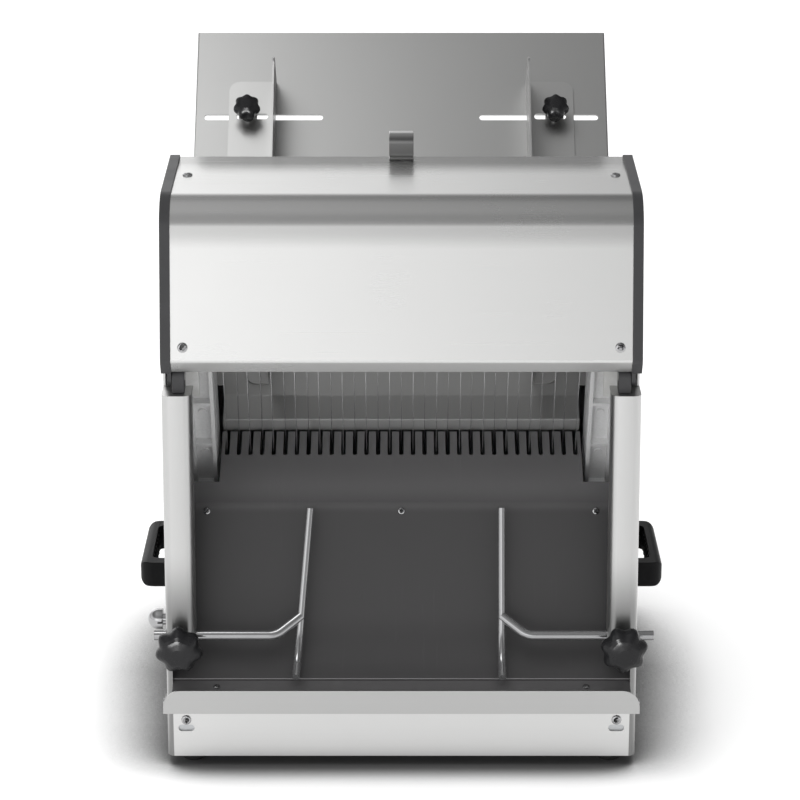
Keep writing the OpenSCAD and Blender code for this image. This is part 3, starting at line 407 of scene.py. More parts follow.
def tray_coat(name, colour):
    """Dark satin coat with a fine orange peel.

    The slotted run is painted paler as painted light from above, and the toe's cut edge carries a painted
    highlight.
    """
    net = material(name)
    _, y, z = net.parts()
    bend = CUT.z + TRAY_BEND[1]
    # Painted light: the slotted run above the bend is painted paler, up to 3.5 times the coat's colour
    painted_light_run = net.rise(z, bend + TRAY_PAINTED_LIGHT[0], bend + TRAY_PAINTED_LIGHT[1])
    # Painted highlight: a pale line along the toe's cut edge
    cut = 1 - net.rise(y, CUT.y + TOE_PAINTED_HIGHLIGHT[0], CUT.y + TOE_PAINTED_HIGHLIGHT[1])
    peel = net.noise((900, 900, 900), 2.0)
    cloud = net.noise((11, 11, 11), 3.0)
    rub = net.rise(net.noise((420, 16, 16), 3.0, 0.7), 0.56, 0.8) * net.rise(cloud, 0.35, 0.7)
    patch = rub * 0.6 + cloud * 0.3
    net.finish({
        "Base Color": net.mix(
            painted_light_run,
            net.mix(
                cut, net.tint(patch, shade(colour, 0.93), shade(colour, 1.28)),
                net.tint(peel, shade(colour, 4.0), shade(colour, 6.0)),
            ),
            net.tint(patch, shade(colour, 2.8), shade(colour, 3.5)),
        ),
        "Metallic": 0.0,
        "Roughness": 0.40 + rub * 0.08 + cloud * 0.06,
        "Normal": net.relief(peel, 0.05, 0.0004, 0.0003),
        "Specular IOR Level": 0.25,
    })


def moulded(name, colour, rough, grain, strength, edge=0.0, shine=0.5):
    """Moulded plastic: a fine tool texture, slightly greyer where it is handled"""
    net = material(name)
    pits = net.noise((grain, grain, grain), 2.0)
    touch = net.rise(net.noise((34, 34, 34), 3.0), 0.45, 0.75)
    net.finish({
        "Base Color": net.tint(touch * 0.5 + pits * 0.4, shade(colour, 0.88), shade(colour, 1.35)),
        "Roughness": rough + touch * 0.06 - pits * 0.05,
        "Normal": net.relief(pits, strength, 0.0003, edge),
        "Specular IOR Level": shine,
    })


def bright_plate(name, colour, rough=0.05, metal=1.0):
    """Bright plating with a faint haze and a few fingermarks"""
    net = material(name)
    haze = net.noise((60, 60, 60), 3.0)
    marks = net.rise(net.noise((24, 24, 24), 4.0, 0.7), 0.52, 0.7)
    net.finish({
        "Base Color": net.tint(haze, shade(colour, 0.95), shade(colour, 1.04)),
        "Metallic": metal,
        "Roughness": rough + haze * 0.04 + marks * 0.07,
        "Normal": net.relief(haze, 0.01, 0.0003),
    })


def cast_metal(name, colour, rough, metal=1.0, edge=0.0006):
    """A sand or die casting: a pebbled skin with darker hollows"""
    net = material(name)
    pebble = net.noise((420, 420, 420), 4.0, 0.6)
    stain = net.noise((40, 40, 40), 3.0)
    net.finish({
        "Base Color": net.tint(pebble * 0.5 + stain * 0.5, shade(colour, 0.78), shade(colour, 1.15)),
        "Metallic": metal,
        "Roughness": rough + stain * 0.12 - pebble * 0.06,
        "Normal": net.relief(pebble, 0.16, 0.0005, edge),
    })


def zinc_plate(name, colour):
    """Plated sheet with a soft spangle"""
    net = material(name)
    spangle = net.cells(140)
    dull = net.noise((16, 16, 16), 3.0)
    net.finish({
        "Base Color": net.tint(spangle * 0.6 + dull * 0.4, shade(colour, 0.88), shade(colour, 1.08)),
        "Metallic": 1.0,
        "Roughness": 0.34 + spangle * 0.08 + dull * 0.10,
        "Normal": net.relief(dull, 0.03, 0.0005, 0.0004),
    })


def ground_steel(name, colour, lay, rough):
    """Ground or rolled steel with tight lines along its length"""
    net = material(name)
    lines = net.noise(lay, 3.0, 0.6)
    dull = net.noise((30, 30, 30), 2.0)
    net.finish({
        "Base Color": net.tint(lines * 0.6 + dull * 0.4, shade(colour, 0.88), shade(colour, 1.08)),
        "Metallic": 1.0,
        "Roughness": rough + lines * 0.10 + dull * 0.06 - 0.06,
        "Normal": net.relief(lines, 0.04, 0.0003, 0.0003),
    })


def rubber(name):
    """Black rubber, greyed by dust"""
    net = material(name)
    dust = net.noise((120, 120, 120), 4.0, 0.65)
    grain = net.noise((1500, 1500, 1500), 2.0)
    net.finish({
        "Base Color": net.tint(net.rise(dust, 0.45, 0.8), (0.010, 0.010, 0.010), (0.032, 0.031, 0.030)),
        "Roughness": 0.66 + dust * 0.16,
        "Normal": net.relief(grain, 0.10, 0.0003, 0.0006),
    })


def satin_paint(name, colour):
    """Paint with an orange peel and dusty patches"""
    net = material(name)
    peel = net.noise((700, 700, 700), 2.0)
    dust = net.rise(net.noise((50, 50, 50), 4.0, 0.65), 0.5, 0.8)
    net.finish({
        "Base Color": net.tint(dust * 0.5 + peel * 0.3, shade(colour, 0.92), shade(colour, 1.25)),
        "Roughness": 0.34 + dust * 0.2,
        "Normal": net.relief(peel, 0.05, 0.0004, 0.0008),
    })


def finishes(scene):
    """Every finish of the machine, made once"""
    if "zinc_plate" in MADE:
        return MADE
    steel, plastic = scene.slicer_steel, scene.slicer_plastic
    brushed_sheet("sheet_across", steel.sheet, ALONG_X)
    brushed_sheet("sheet_upright", steel.sheet, ALONG_Z, 0.30)
    brushed_sheet("sheet_panel", steel.sheet, ALONG_X, 0.32)
    # The lip is a darker copy of the sheet, 0.72 as bright: painted shade
    brushed_sheet("sheet_lip", shade(steel.sheet, 0.72), ALONG_X, 0.34)
    # The tab's front below its top carries painted shade, left at 0.28 of the colour
    tab_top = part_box("hood_tab")[1].z
    brushed_sheet("sheet_tab", steel.sheet, ALONG_X, 0.30, dull=(tab_top, tab_top + 0.001, 0.28))
    # The covers are a darker copy of the sheet, 0.88 as bright, with painted shade low on their fronts
    # that fades out between 0.150 and 0.228 m up
    brushed_sheet(
        "sheet_cover", shade(steel.sheet, 0.88), ALONG_Z, 0.36,
        dull=(0.150, 0.228, 0.42), crown=(0.223, 6.5),
    )
    # The hood's folded lower edge carries painted shade, left at 0.75 of the colour
    brushed_sheet(
        "sheet_hood", steel.sheet, ALONG_X, 0.27,
        roll=(CUT.y - 0.025, 0.074, 0.0075),
        ease=(CUT.z + HOOD_BEND_START, 0.021, 0.016, 0.0022),
        dull=(CUT.z + HOOD_LOW[1] - 0.004, CUT.z + HOOD_LOW[1] + 0.001, 0.75),
    )
    brushed_sheet("guide_satin", shade(steel.board, 1.08), BOARD_GRAIN, 0.40)
    infeed_sheet("board_satin", steel.board)
    tray_coat("tray_coat", steel.tray)
    satin_paint("ledge_coat", shade(steel.tray, 1.7))
    bright_plate("bright_plate", steel.bright)
    bright_plate("rod_plate", shade(steel.bright, 0.54), 0.07, 0.80)
    bright_plate("screw_plate", shade(steel.bright, 0.60))
    cast_metal("cast_beam", steel.cast, 0.50, 0.25)
    cast_metal("cast_grey", (0.16, 0.165, 0.175), 0.48, 0.8)
    zinc_plate("zinc_plate", (0.50, 0.51, 0.52))
    ground_steel("ground_bar", (0.56, 0.56, 0.56), ALONG_X, 0.30)
    ground_steel("blade_steel", (0.72, 0.72, 0.73), (1400, 1400, 24), 0.22)
    ground_steel("turned_bronze", (0.46, 0.30, 0.12), (60, 1600, 1600), 0.34)
    moulded("cap_plastic", plastic.caps, 0.46, 1500, 0.22)
    moulded("handle_plastic", plastic.handles, 0.46, 1300, 0.12, shine=0.09)
    moulded("knob_plastic", plastic.knobs, 0.28, 700, 0.02, shine=0.24)
    moulded("slide_plastic", (0.80, 0.80, 0.77), 0.42, 900, 0.06, 0.0005)
    rubber("rubber")
    satin_paint("motor_paint", (0.045, 0.065, 0.085))
    return MADE


# Making pieces


def piece_from(bm, name, body, slot, finish, *nodes):
    """A finished mesh becomes a piece that rides on its body, in place of the nodes that it stands for."""
    mesh = bpy.data.meshes.new(name)
    bm.to_mesh(mesh)
    bm.free()
    mesh.materials.append(finish)
    piece = bpy.data.objects.new(name, mesh)
    bpy.context.scene.collection.objects.link(piece)
    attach(piece, body)
    if nodes:
        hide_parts(*nodes)
    return piece


def smooth(piece, angle=35):
    """Smooth shading with flats kept flat and edges past the angle kept crisp"""
    piece.data.shade_smooth()
    piece.data.set_sharp_from_angle(angle=math.radians(angle))
    even = piece.modifiers.new("even_normals", "WEIGHTED_NORMAL")
    even.keep_sharp = True
    even.weight = 100
    return piece


def joined(node):
    """A bmesh of a CAD node with its loose triangles joined into whole faces"""
    bm = bmesh.new()
    bm.from_mesh(frame["nodes"][node].data)
    bmesh.ops.remove_doubles(bm, verts=bm.verts, dist=2e-6)
    bmesh.ops.dissolve_limit(
        bm, angle_limit=math.radians(0.6), verts=bm.verts, edges=bm.edges,
        use_dissolve_boundaries=False,
    )
    return bm


def rounded_off(bm, edges, width, segments):
    """These edges rounded to a width"""
    bmesh.ops.bevel(
        bm, geom=edges, offset=width, offset_type="OFFSET", segments=segments, profile=0.5,
        affect="EDGES", clamp_overlap=True, material=-1, loop_slide=True,
    )


def softened(node, name, finish, width, segments=2, angle=28, fold=None, fold_width=0.0017):
    """A node's own shape with its cut edges rounded, and those that the fold test picks rounded wider"""
    bm = joined(node)
    if fold:
        rounded_off(bm, [e for e in bm.edges if e.is_manifold and fold(e)], fold_width, 4)
    crisp = [e for e in bm.edges if e.is_manifold and e.calc_face_angle() > math.radians(angle)]
    rounded_off(bm, crisp, width, segments)
    return smooth(piece_from(bm, name, BODY_OF[node], SLOT_OF[node], finish, node))


def turned(profile, steps=48):
    """A turned solid from (radius, height) points"""
    bm = bmesh.new()
    line = [bm.verts.new((r, 0, z)) for r, z in profile]
    edges = [bm.edges.new(pair) for pair in zip(line, line[1:])]
    bmesh.ops.spin(
        bm, geom=line + edges, axis=(0, 0, 1), cent=(0, 0, 0), angle=2 * math.pi, steps=steps,
        use_merge=True,
    )
    bmesh.ops.remove_doubles(bm, verts=bm.verts, dist=1e-6)
    bmesh.ops.recalc_face_normals(bm, faces=bm.faces)
    return bm


def gathered(parts):
    """One bmesh from (bmesh, matrix) pairs"""
    whole = bmesh.new()
    for bm, place in parts:
        held = bpy.data.meshes.new("held")
        bm.to_mesh(held)
        bm.free()
        held.transform(place)
        if place.determinant() < 0:
            held.flip_normals()
        whole.from_mesh(held)
        bpy.data.meshes.remove(held)
    return whole


def star(radius, rings, lobes):
    """A lobed knob grown ring by ring: each ring is (share of the radius, depth of its lobes, height)."""
    bm = bmesh.new()
    bmesh.ops.create_circle(bm, cap_ends=True, segments=lobes * 12, radius=radius)
    cap = bm.faces[:][0]
    for i, (share, deep, height) in enumerate(rings):
        if i:
            made = bmesh.ops.extrude_face_region(bm, geom=[cap])["geom"]
            cap = next(g for g in made if isinstance(g, bmesh.types.BMFace))
        for v in cap.verts:
            turn = math.atan2(v.co.y, v.co.x)
            wave = 1 - deep * (1 - math.cos(lobes * turn)) / 2
            r = radius * share * wave
            v.co = (r * math.cos(turn), r * math.sin(turn), height)
    bmesh.ops.recalc_face_normals(bm, faces=bm.faces)
    return bm


def screw_head(radius, height):
    """A pan head, hollow under the cross on its crown, its underside at z = 0"""
    bm = bmesh.new()
    bmesh.ops.create_grid(bm, x_segments=5, y_segments=5, size=1)
    lines = [-0.72, -0.46, -0.13, 0.13, 0.46, 0.72]
    for v in bm.verts:
        at = [lines[min(5, max(0, round((c + 1) * 2.5)))] * radius for c in v.co.xy]
        if max(abs(at[0]), abs(at[1])) > 0.7 * radius:
            at = Vector(at).normalized() * 0.74 * radius
        v.co = (at[0], at[1], height * (1 if Vector(at).length > 0.6 * radius else 1.08))
    cross = [
        f for f in bm.faces
        if min(abs(c) for c in f.calc_center_median().xy) < 0.12 * radius
        and max(abs(c) for c in f.calc_center_median().xy) < 0.45 * radius
    ]
    made = bmesh.ops.extrude_face_region(bm, geom=cross)["geom"]
    sunk = [g for g in made if isinstance(g, bmesh.types.BMVert)]
    bmesh.ops.scale(bm, vec=(0.8, 0.8, 1), verts=sunk)
    bmesh.ops.translate(bm, vec=(0, 0, -0.55 * height), verts=sunk)
    rim = [e for e in bm.edges if e.is_boundary]
    for share, z in ((0.92, 0.82), (1.0, 0.45), (1.0, 0.0), (0.5, -0.6)):
        made = bmesh.ops.extrude_edge_only(bm, edges=rim)["geom"]
        rim = [g for g in made if isinstance(g, bmesh.types.BMEdge)]
        for v in {v for e in rim for v in e.verts}:
            flat = v.co.xy.normalized() * radius * share
            v.co = (flat.x, flat.y, z * height)
    bmesh.ops.holes_fill(bm, edges=rim, sides=0)
    bmesh.ops.recalc_face_normals(bm, faces=bm.faces)
    return bm


# Operators


class SLICER_OT_stage(bpy.types.Operator):
    """Floor, soft studio light and the camera"""

    bl_idname = "slicer.stage"
    bl_label = "Stage"

    FLOOR_HALF = 14
    # Openness of the floor between which its shade fades out, and the floor's colour in that shade
    SHADE_RANGE = (0.46, 0.97)
    SHADE_COLOUR = (0.15, 0.15, 0.15)
    SUN_SPOT, SUN_SPREAD = (-0.15, -0.25, 3), 75
    # Each lamp: its size, its spot, what it aims at and the group of pieces that it lights
    SOFT_BOX = ((0.9, 0.7), (-0.62, -0.30, 2.0), (-0.15, 0.15, 0.5), "infeed_lit")
    GLINT = ((1.1, 0.9), (-0.6, -2.05, 1.0), (0, -0.26, 0.13), "knobs_lit")
    UNDER_HOOD = (
        (0.40, 0.12), CUT + Vector((0, -0.045, 0.27)), CUT + Vector((0, 0.065, 0.04)), "infeed_lit"
    )
    CAMERA_SPOT, SENSOR = CUT + Vector((-0.0014, -2.811, 0.9867)), 36.0
    # Brightness of the sky from straight below to straight above
    SKY_BANDS = [
        (0.0, 0.9), (0.5, 1.0), (0.69, 1.0), (0.80, 0.25), (0.93, 0.27), (0.98, 0.36), (1.0, 0.34)
    ]
    # How far these bands tip up at the back
    SKY_TIP = 0.06
    # Strength of the sky left of the front, and what it loses elsewhere, each over a range
    SKY_LEFT = 2.05
    RIGHT_RANGE, RIGHT_LOSS = (-0.24, 0.24), 1.45
    FAR_LEFT_RANGE, FAR_LEFT_LOSS = (-0.75, -0.35), 0.9
    REAR_RANGE, REAR_LOSS = (-0.2, 0.6), 0.25

    def execute(self, context):
        scene = context.scene
        look = scene.slicer_stage
        scene.view_settings.view_transform = "Standard"
        self.floor(scene, look)
        self.world(scene, look)
        sun = bpy.data.lights.new("overhead", "SUN")
        sun.energy, sun.angle = look.sun, math.radians(self.SUN_SPREAD)
        self.lamp(scene, sun, self.SUN_SPOT, (0, 0, 0)).visible_glossy = False
        for name, power, (size, spot, aim, group) in (
            ("soft_box", look.box, self.SOFT_BOX),
            ("glint", look.glint, self.GLINT),
            ("under_hood", look.inner, self.UNDER_HOOD),
        ):
            data = bpy.data.lights.new(name, "AREA")
            data.shape, data.energy = "RECTANGLE", power
            data.size, data.size_y = size
            self.lamp(scene, data, spot, aim, group)
        data = bpy.data.cameras.new("camera")
        data.lens, data.sensor_width = look.lens, self.SENSOR
        camera = bpy.data.objects.new("camera", data)
        camera.location = self.CAMERA_SPOT
        camera.rotation_euler = (math.pi / 2 - look.pitch, 0, 0)
        scene.collection.objects.link(camera)
        scene.camera = camera
        return {"FINISHED"}

    def floor(self, scene, look):
        """Pale paper floor, with the machine's shade on it"""
        bm = bmesh.new()
        bmesh.ops.create_grid(bm, x_segments=1, y_segments=1, size=self.FLOOR_HALF)
        mesh = bpy.data.meshes.new("floor")
        bm.to_mesh(mesh)
        bm.free()
        floor = bpy.data.objects.new("floor", mesh)
        scene.collection.objects.link(floor)
        net = material("floor_paper")
        near = net.add("ShaderNodeAmbientOcclusion", {"samples": 16}, {"Distance": look.halo})
        rays = net.add("ShaderNodeLightPath").outputs
        seen = Wire(net, rays["Is Camera Ray"])
        for kind in ("Is Glossy Ray", "Is Transmission Ray"):
            seen = net.math("MAXIMUM", seen, Wire(net, rays[kind]))
        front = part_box("front_panel")[0].y
        behind = net.rise(net.parts()[1], front - look.fill, front)
        shaded = 1 - net.rise(Wire(net, near.outputs["AO"]), *self.SHADE_RANGE)
        net.finish({
            "Base Color": net.tint(seen * behind * shaded, look.floor, self.SHADE_COLOUR),
            "Emission Color": net.tint(seen * (1 - behind * shaded), (0, 0, 0), (1, 1, 1)),
            "Emission Strength": look.paper,
            "Roughness": 0.95,
            "Specular IOR Level": 0.0,
        })
        mesh.materials.append(MADE["floor_paper"])

    @staticmethod
    def lamp(scene, data, spot, aim, group=None):
        """A lamp at a spot, which lights only a group of pieces where one is named"""
        lamp = bpy.data.objects.new(data.name, data)
        lamp.location = spot
        lamp.rotation_euler = (Vector(aim) - Vector(spot)).to_track_quat("-Z", "Y").to_euler()
        scene.collection.objects.link(lamp)
        if group:
            pieces = bpy.data.collections.get(group) or bpy.data.collections.new(group)
            lamp.light_linking.receiver_collection = pieces
        return lamp

    def world(self, scene, look):
        """White round the horizon, brightest left of the front, dim above, a little paler overhead"""
        scene.world = bpy.data.worlds.new("studio")
        net = Net(scene.world)
        across, back, up = net.parts()
        bands = net.add(
            "ShaderNodeValToRGB", {"stops": self.SKY_BANDS}, {0: up * 0.5 + 0.5 - back * self.SKY_TIP}
        )
        right = net.rise(across, *self.RIGHT_RANGE) * self.RIGHT_LOSS
        far_left = (1 - net.rise(across, *self.FAR_LEFT_RANGE)) * self.FAR_LEFT_LOSS
        rear = net.rise(back, *self.REAR_RANGE) * self.REAR_LOSS
        strength = look.sky * self.SKY_LEFT - right - far_left - rear
        lit = net.add("ShaderNodeBackground", None, {"Color": bands.outputs[0], "Strength": strength})
        net.add("ShaderNodeOutputWorld", None, {"Surface": lit.outputs[0]})


class SLICER_OT_body_sheets(bpy.types.Operator):
    """Side covers, front panel, lip and ledge, rear panel and drawer"""

    bl_idname = "slicer.body_sheets"
    bl_label = "Body Sheets"

    def execute(self, context):
        made, edge = finishes(context.scene), context.scene.slicer_steel.edge
        for side in ("left", "right"):
            softened(f"side_cover_{side}", f"{side}_cover", made["sheet_cover"], edge)
        softened("front_panel", "lower_front", made["sheet_panel"], edge)
        softened("front_lip", "lip_strip", made["sheet_lip"], edge)
        softened("front_ledge", "ledge_strip", made["ledge_coat"], edge)
        softened("rear_panel", "back_plate", made["sheet_upright"], edge)
        softened("crumb_drawer", "drawer_box", made["zinc_plate"], edge * 0.6)
        return {"FINISHED"}


class SLICER_OT_infeed(bpy.types.Operator):
    """Infeed board and the two loaf guides"""

    bl_idname = "slicer.infeed"
    bl_label = "Infeed"

    def execute(self, context):
        made, edge = finishes(context.scene), context.scene.slicer_steel.edge
        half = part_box("infeed_board")[1].x

        def side_fold(e):
            """The long fold between the board's top and a side flange"""
            at_side = all(abs(abs(v.co.x) - half) < 1e-4 for v in e.verts)
            tops = [f for f in e.link_faces if f.normal.z > 0.4 and abs(f.normal.x) < 0.1]
            return at_side and len(tops) == 1 and e.calc_length() > 0.05

        lit = [softened("infeed_board", "loaf_board", made["board_satin"], edge, fold=side_fold)]
        for side in ("left", "right"):
            lit.append(softened(f"guide_{side}", f"{side}_loaf_guide", made["guide_satin"], edge))
        for piece in lit:
            bpy.data.collections["infeed_lit"].objects.link(piece)
        return {"FINISHED"}


class SLICER_OT_outfeed(bpy.types.Operator):
    """Tray with its slotted fingers"""

    bl_idname = "slicer.outfeed"
    bl_label = "Outfeed Tray"

    def execute(self, context):
        made, edge = finishes(context.scene), context.scene.slicer_steel.edge
        softened("outfeed_tray", "slice_tray", made["tray_coat"], edge * 0.6)
        return {"FINISHED"}


class SLICER_OT_hood(bpy.types.Operator):
    """Hood shell, end caps, tab and hinge posts"""

    bl_idname = "slicer.hood"
    bl_label = "Hood"

    def execute(self, context):
        made, edge = finishes(context.scene), context.scene.slicer_steel.edge
        round_off = context.scene.slicer_plastic.cap_edge
        softened("hood_shell", "hood_skin", made["sheet_hood"], edge)
        softened("hood_tab", "lift_tab", made["sheet_tab"], edge)
        for side in ("left", "right"):
            softened(f"hood_end_{side}", f"{side}_hood_cap", made["cap_plastic"], round_off, 4)
        softened("hinge_posts", "hinge_blocks", made["cap_plastic"], round_off / 2, 3)
        return {"FINISHED"}


class SLICER_OT_blade_frames(bpy.types.Operator):
    """Cast beams of the two blade frames"""

    bl_idname = "slicer.blade_frames"
    bl_label = "Blade Frames"

    EDGE = 0.0009

    def execute(self, context):
        made = finishes(context.scene)
        for end in ("front", "rear"):
            for side in ("left", "right"):
                softened(f"{end}_beam_{side}", f"{end}_{side}_casting", made["cast_beam"], self.EDGE, 3)
        return {"FINISHED"}


class SLICER_OT_star_knobs(bpy.types.Operator):
    """Two clamp knobs and two guide knobs"""

    bl_idname = "slicer.star_knobs"
    bl_label = "Star Knobs"

    # Rings of a knob from its neck to its crown: share of the radius, depth of the lobes, height
    LARGE = (
        (0.17, 0, -0.0162), (0.17, 0, 0), (0.42, 0, 0), (0.42, 0, 0.0062), (0.70, 0.06, 0.0068),
        (0.90, 0.13, 0.0080), (0.975, 0.155, 0.0100), (1.0, 0.16, 0.0126), (0.995, 0.16, 0.0152),
        (0.97, 0.155, 0.0176), (0.92, 0.14, 0.0198), (0.84, 0.12, 0.0221), (0.73, 0.09, 0.0244),
        (0.59, 0.06, 0.0266), (0.43, 0.03, 0.0284), (0.25, 0.01, 0.0295), (0.08, 0, 0.0299),
    )
    SMALL = (
        (0.20, 0, -0.0082), (0.20, 0, 0.0024), (0.46, 0, 0.0024), (0.42, 0, 0.0150),
        (0.62, 0.05, 0.0160), (0.88, 0.13, 0.0172), (0.97, 0.15, 0.0188), (1.0, 0.16, 0.0210),
        (0.995, 0.16, 0.0232), (0.965, 0.15, 0.0252), (0.90, 0.13, 0.0271), (0.79, 0.10, 0.0289),
        (0.64, 0.065, 0.0304), (0.45, 0.03, 0.0316), (0.25, 0.01, 0.0322), (0.08, 0, 0.0323),
    )
    LARGE_RADIUS, SMALL_RADIUS = 0.024, 0.015
    LARGE_TURN, SMALL_TURN = 0.21, -0.2244
    CLAMP_ASIDE, CLAMP_Y, CLAMP_Z = 0.22125, -0.173, -0.153
    STUD_ASIDE, STUD_UP = 0.169, 0.3385

    def execute(self, context):
        made, lobes = finishes(context.scene), context.scene.slicer_plastic.lobes
        for side, sign in (("left", -1), ("right", 1)):
            clamp = CUT + Vector((sign * self.CLAMP_ASIDE, self.CLAMP_Y, self.CLAMP_Z))
            face = Matrix.Translation(clamp) @ Matrix.Rotation(math.pi / 2, 4, "X")
            stud = side_place(BOARD_FOOT, BOARD_SLOPE, sign * self.STUD_ASIDE, self.STUD_UP)
            large = star(self.LARGE_RADIUS, self.LARGE, lobes)
            small = star(self.SMALL_RADIUS, self.SMALL, lobes)
            for node, name, knob, place, turn in (
                (f"clamp_knob_{side}", f"{side}_holder_knob", large, face, sign * self.LARGE_TURN),
                (f"guide_knob_{side}", f"{side}_guide_star", small, stud, self.SMALL_TURN),
            ):
                placed = gathered([(knob, place @ Matrix.Rotation(turn, 4, "Z"))])
                piece = piece_from(placed, name, BODY_OF[node], "knob_plastic", made["knob_plastic"], node)
                bpy.data.collections["knobs_lit"].objects.link(smooth(piece, 60))
        return {"FINISHED"}


class SLICER_OT_handles(bpy.types.Operator):
    """Carry handles with rounded grips and finger ribs"""

    bl_idname = "slicer.handles"
    bl_label = "Carry Handles"

    EDGE = 0.0024
    # Half of a finger rib as (radius, height), and the row that the ribs stand in
    RIB = ((0, 0.0095), (0.0014, 0.0091), (0.0020, 0.008))
    RIBS, FIRST_RIB, RIB_STEP, RIB_DEPTH = 8, 0.022, 0.0115, 0.0122

    def execute(self, context):
        made = finishes(context.scene)
        profile = [(r, -z) for r, z in self.RIB] + list(reversed(self.RIB))
        for side, sign in (("left", -1), ("right", 1)):
            node = f"carry_handle_{side}"
            softened(node, f"{side}_handle", made["handle_plastic"], self.EDGE, 4)
            low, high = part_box(node)
            wall = (low.x if sign < 0 else high.x) - sign * self.RIB_DEPTH
            parts = []
            for i in range(self.RIBS):
                y = low.y + self.FIRST_RIB + i * self.RIB_STEP
                spot = Matrix.Translation((wall, y, (low.z + high.z) / 2))
                parts.append((turned(profile, 16), spot))
            name, finish = f"{side}_handle_ribs", made["handle_plastic"]
            smooth(piece_from(gathered(parts), name, BODY_OF[node], SLOT_OF[node], finish), 40)
        return {"FINISHED"}


class SLICER_OT_screws(bpy.types.Operator):
    """Pan-head screws on the tray, body and hood"""

    bl_idname = "slicer.screws"
    bl_label = "Screws"

    FINE, WIDE, HEAD = 0.0035, 0.005, 0.0016
    FIRST_TURN, NEXT_TURN = 0.5, 0.9
    TRAY_ROW, TRAY_ALONG = (-0.197, 0, 0.197), -0.0075
    HOOD_ASIDE, HOOD_FRONT_UP, HOOD_TOP_BACK = 0.214, 0.014, 0.0857
    PANEL_ASIDE, PANEL_SPOT = 0.2163, (-0.176, -0.234)
    LEDGE_ASIDE, LEDGE_BACK = 0.185, 0.011
    LIP_ASIDE, LIP_Y, LIP_Z = 0.2382, -0.166, -0.2186

    def execute(self, context):
        made = finishes(context.scene)
        fine, wide = self.FINE, self.WIDE
        tray = [(fine, side_place(TRAY_BEND, TRAY_SLOPE, x, self.TRAY_ALONG)) for x in self.TRAY_ROW]
        hood, body = [], []
        for s in (-1, 1):
            aside = s * self.HOOD_ASIDE
            hood.append((wide, side_place(HOOD_LOW, HOOD_FRONT_SLOPE, aside, self.HOOD_FRONT_UP)))
            hood.append((wide, side_place(HOOD_BEND, HOOD_TOP_SLOPE, aside, self.HOOD_TOP_BACK)))
            body.append((wide, side_place(self.PANEL_SPOT, 90, s * self.PANEL_ASIDE, 0)))
            ledge = side_place(LEDGE_FRONT, LEDGE_SLOPE, s * self.LEDGE_ASIDE, self.LEDGE_BACK)
            body.append((fine, ledge))
            lip = Matrix.Translation(CUT + Vector((s * self.LIP_ASIDE, self.LIP_Y, self.LIP_Z)))
            body.append((fine, lip @ Matrix.Rotation(s * math.pi / 2, 4, "Y")))
        for node, spots in (("tray_screws", tray), ("hood_screws", hood), ("body_screws", body)):
            parts = []
            for i, (radius, spot) in enumerate(spots):
                turn = Matrix.Rotation(self.FIRST_TURN + i * self.NEXT_TURN, 4, "Z")
                parts.append((screw_head(radius, self.HEAD), spot @ turn))
            name, finish = f"{node[:4]}_pan_heads", made["screw_plate"]
            smooth(piece_from(gathered(parts), name, BODY_OF[node], SLOT_OF[node], finish, node), 40)
        return {"FINISHED"}


class SLICER_OT_button_and_feet(bpy.types.Operator):
    """Domed push button with its collar, and the rubber feet"""

    bl_idname = "slicer.button_and_feet"
    bl_label = "Button and Feet"

    BUTTON_SPOT = (-0.236, -0.124, -0.146)
    DOME_RADIUS, DOME_START, DOME_TOP = 0.0105, 0.010, 0.0205
    STEM = [(0.0, -0.009), (0.006, -0.009), (0.006, 0.005), (0.0103, 0.0052), (0.0105, 0.0062)]
    FOOT = [
        (0, 0), (0.0108, 0), (0.0118, 0.0008), (0.0122, 0.0020), (0.0126, 0.0075), (0.0129, 0.0080),
        (0.0129, 0.0112), (0.0122, 0.0119), (0, 0.0119),
    ]
    FOOT_INSET = 0.013

    def execute(self, context):
        made = finishes(context.scene)
        spot = Matrix.Translation(CUT + Vector(self.BUTTON_SPOT))
        out = spot @ Matrix.Rotation(-math.pi / 2, 4, "Y")
        arc = [math.radians(8 * i) for i in range(11)]
        dome = self.STEM + [
            (self.DOME_RADIUS * math.cos(a), self.DOME_START + self.DOME_RADIUS * math.sin(a)) for a in arc
        ] + [(0.0, self.DOME_TOP)]
        low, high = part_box("rubber_feet")
        inset = self.FOOT_INSET
        feet = [
            (turned(self.FOOT), Matrix.Translation((x, y, 0)))
            for x in (low.x + inset, high.x - inset) for y in (low.y + inset, high.y - inset)
        ]
        for node, name, slot, finish, parts in (
            ("start_button", "start_dome", "chrome", "screw_plate", [(turned(dome), out)]),
            ("rubber_feet", "stepped_feet", "rubber", "rubber", feet),
        ):
            smooth(piece_from(gathered(parts), name, BODY_OF[node], slot, made[finish], node), 40)
        return {"FINISHED"}


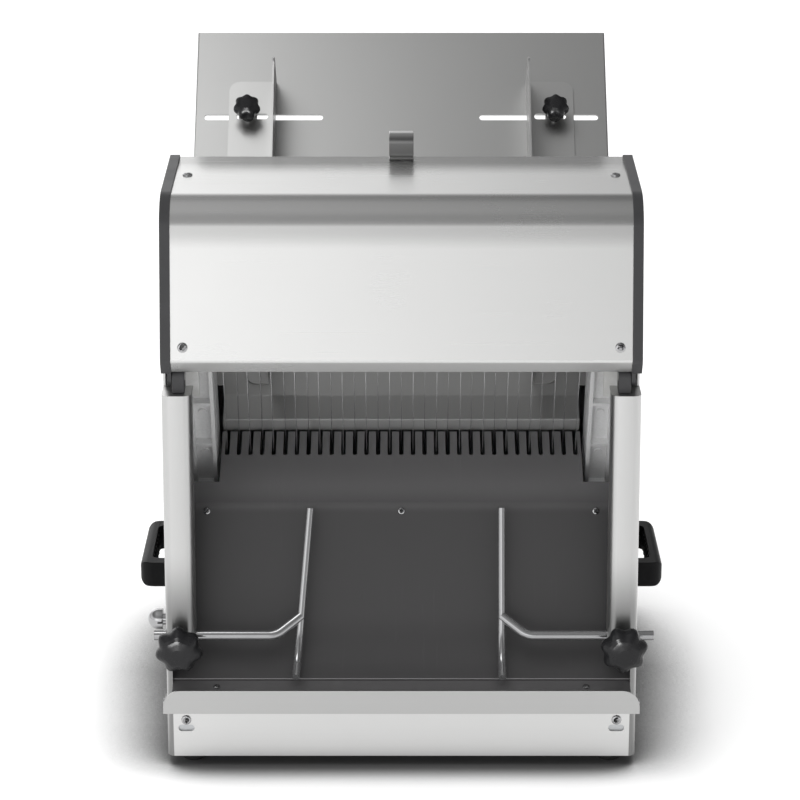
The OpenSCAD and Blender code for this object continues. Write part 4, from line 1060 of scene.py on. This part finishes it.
class SLICER_OT_inner_works(bpy.types.Operator):
    """Finishes for the pieces that keep their own shape"""

    bl_idname = "slicer.inner_works"
    bl_label = "Inner Works"

    BY_SLOT = {
        "brushed_sheet": "sheet_across",
        "satin_sheet": "board_satin",
        "tray_sheet": "tray_coat",
        "zinc_sheet": "zinc_plate",
        "cast_beam": "cast_beam",
        "ground_bar": "ground_bar",
        "blade_steel": "blade_steel",
        "chrome": "bright_plate",
        "dark_plastic": "cap_plastic",
        "black_plastic": "handle_plastic",
        "knob_plastic": "knob_plastic",
        "slide_plastic": "slide_plastic",
        "rubber": "rubber",
        "bronze": "turned_bronze",
        "cast_grey": "cast_grey",
        "motor_paint": "motor_paint",
    }

    def execute(self, context):
        made = finishes(context.scene)
        for node, piece in frame["nodes"].items():
            piece.data.materials.clear()
            finish = "rod_plate" if node.startswith("holder_") else self.BY_SLOT[SLOT_OF[node]]
            piece.data.materials.append(made[finish])
            if finish == "rod_plate":
                bpy.data.collections["infeed_lit"].objects.link(piece)
        return {"FINISHED"}


class SLICER_PT_panel(bpy.types.Panel):
    """Sidebar panel with every step in order"""

    bl_idname = "SLICER_PT_panel"
    bl_label = "Bread Slicer"
    bl_space_type = "VIEW_3D"
    bl_region_type = "UI"
    bl_category = "Slicer"

    def draw(self, context):
        scene = context.scene
        for group in (scene.slicer_steel, scene.slicer_plastic, scene.slicer_stage):
            box = self.layout.box()
            for key in group.bl_rna.properties.keys():
                if key not in ("rna_type", "name"):
                    box.prop(group, key)
        for step in STEPS:
            self.layout.operator(step.bl_idname)


STEPS = (
    SLICER_OT_stage,
    SLICER_OT_inner_works,
    SLICER_OT_body_sheets,
    SLICER_OT_infeed,
    SLICER_OT_outfeed,
    SLICER_OT_hood,
    SLICER_OT_blade_frames,
    SLICER_OT_star_knobs,
    SLICER_OT_handles,
    SLICER_OT_screws,
    SLICER_OT_button_and_feet,
)
CLASSES = (SteelSettings, PlasticSettings, StageSettings, *STEPS, SLICER_PT_panel)


def register():
    for cls in CLASSES:
        bpy.utils.register_class(cls)
    bpy.types.Scene.slicer_steel = PointerProperty(type=SteelSettings)
    bpy.types.Scene.slicer_plastic = PointerProperty(type=PlasticSettings)
    bpy.types.Scene.slicer_stage = PointerProperty(type=StageSettings)


def unregister():
    del bpy.types.Scene.slicer_steel, bpy.types.Scene.slicer_plastic, bpy.types.Scene.slicer_stage
    for cls in reversed(CLASSES):
        bpy.utils.unregister_class(cls)


def main():
    register()
    bpy.ops.slicer.stage()
    bpy.ops.slicer.inner_works()
    bpy.ops.slicer.body_sheets()
    bpy.ops.slicer.infeed()
    bpy.ops.slicer.outfeed()
    bpy.ops.slicer.hood()
    bpy.ops.slicer.blade_frames()
    bpy.ops.slicer.star_knobs()
    bpy.ops.slicer.handles()
    bpy.ops.slicer.screws()
    bpy.ops.slicer.button_and_feet()


if __name__ == "__main__":
    main()
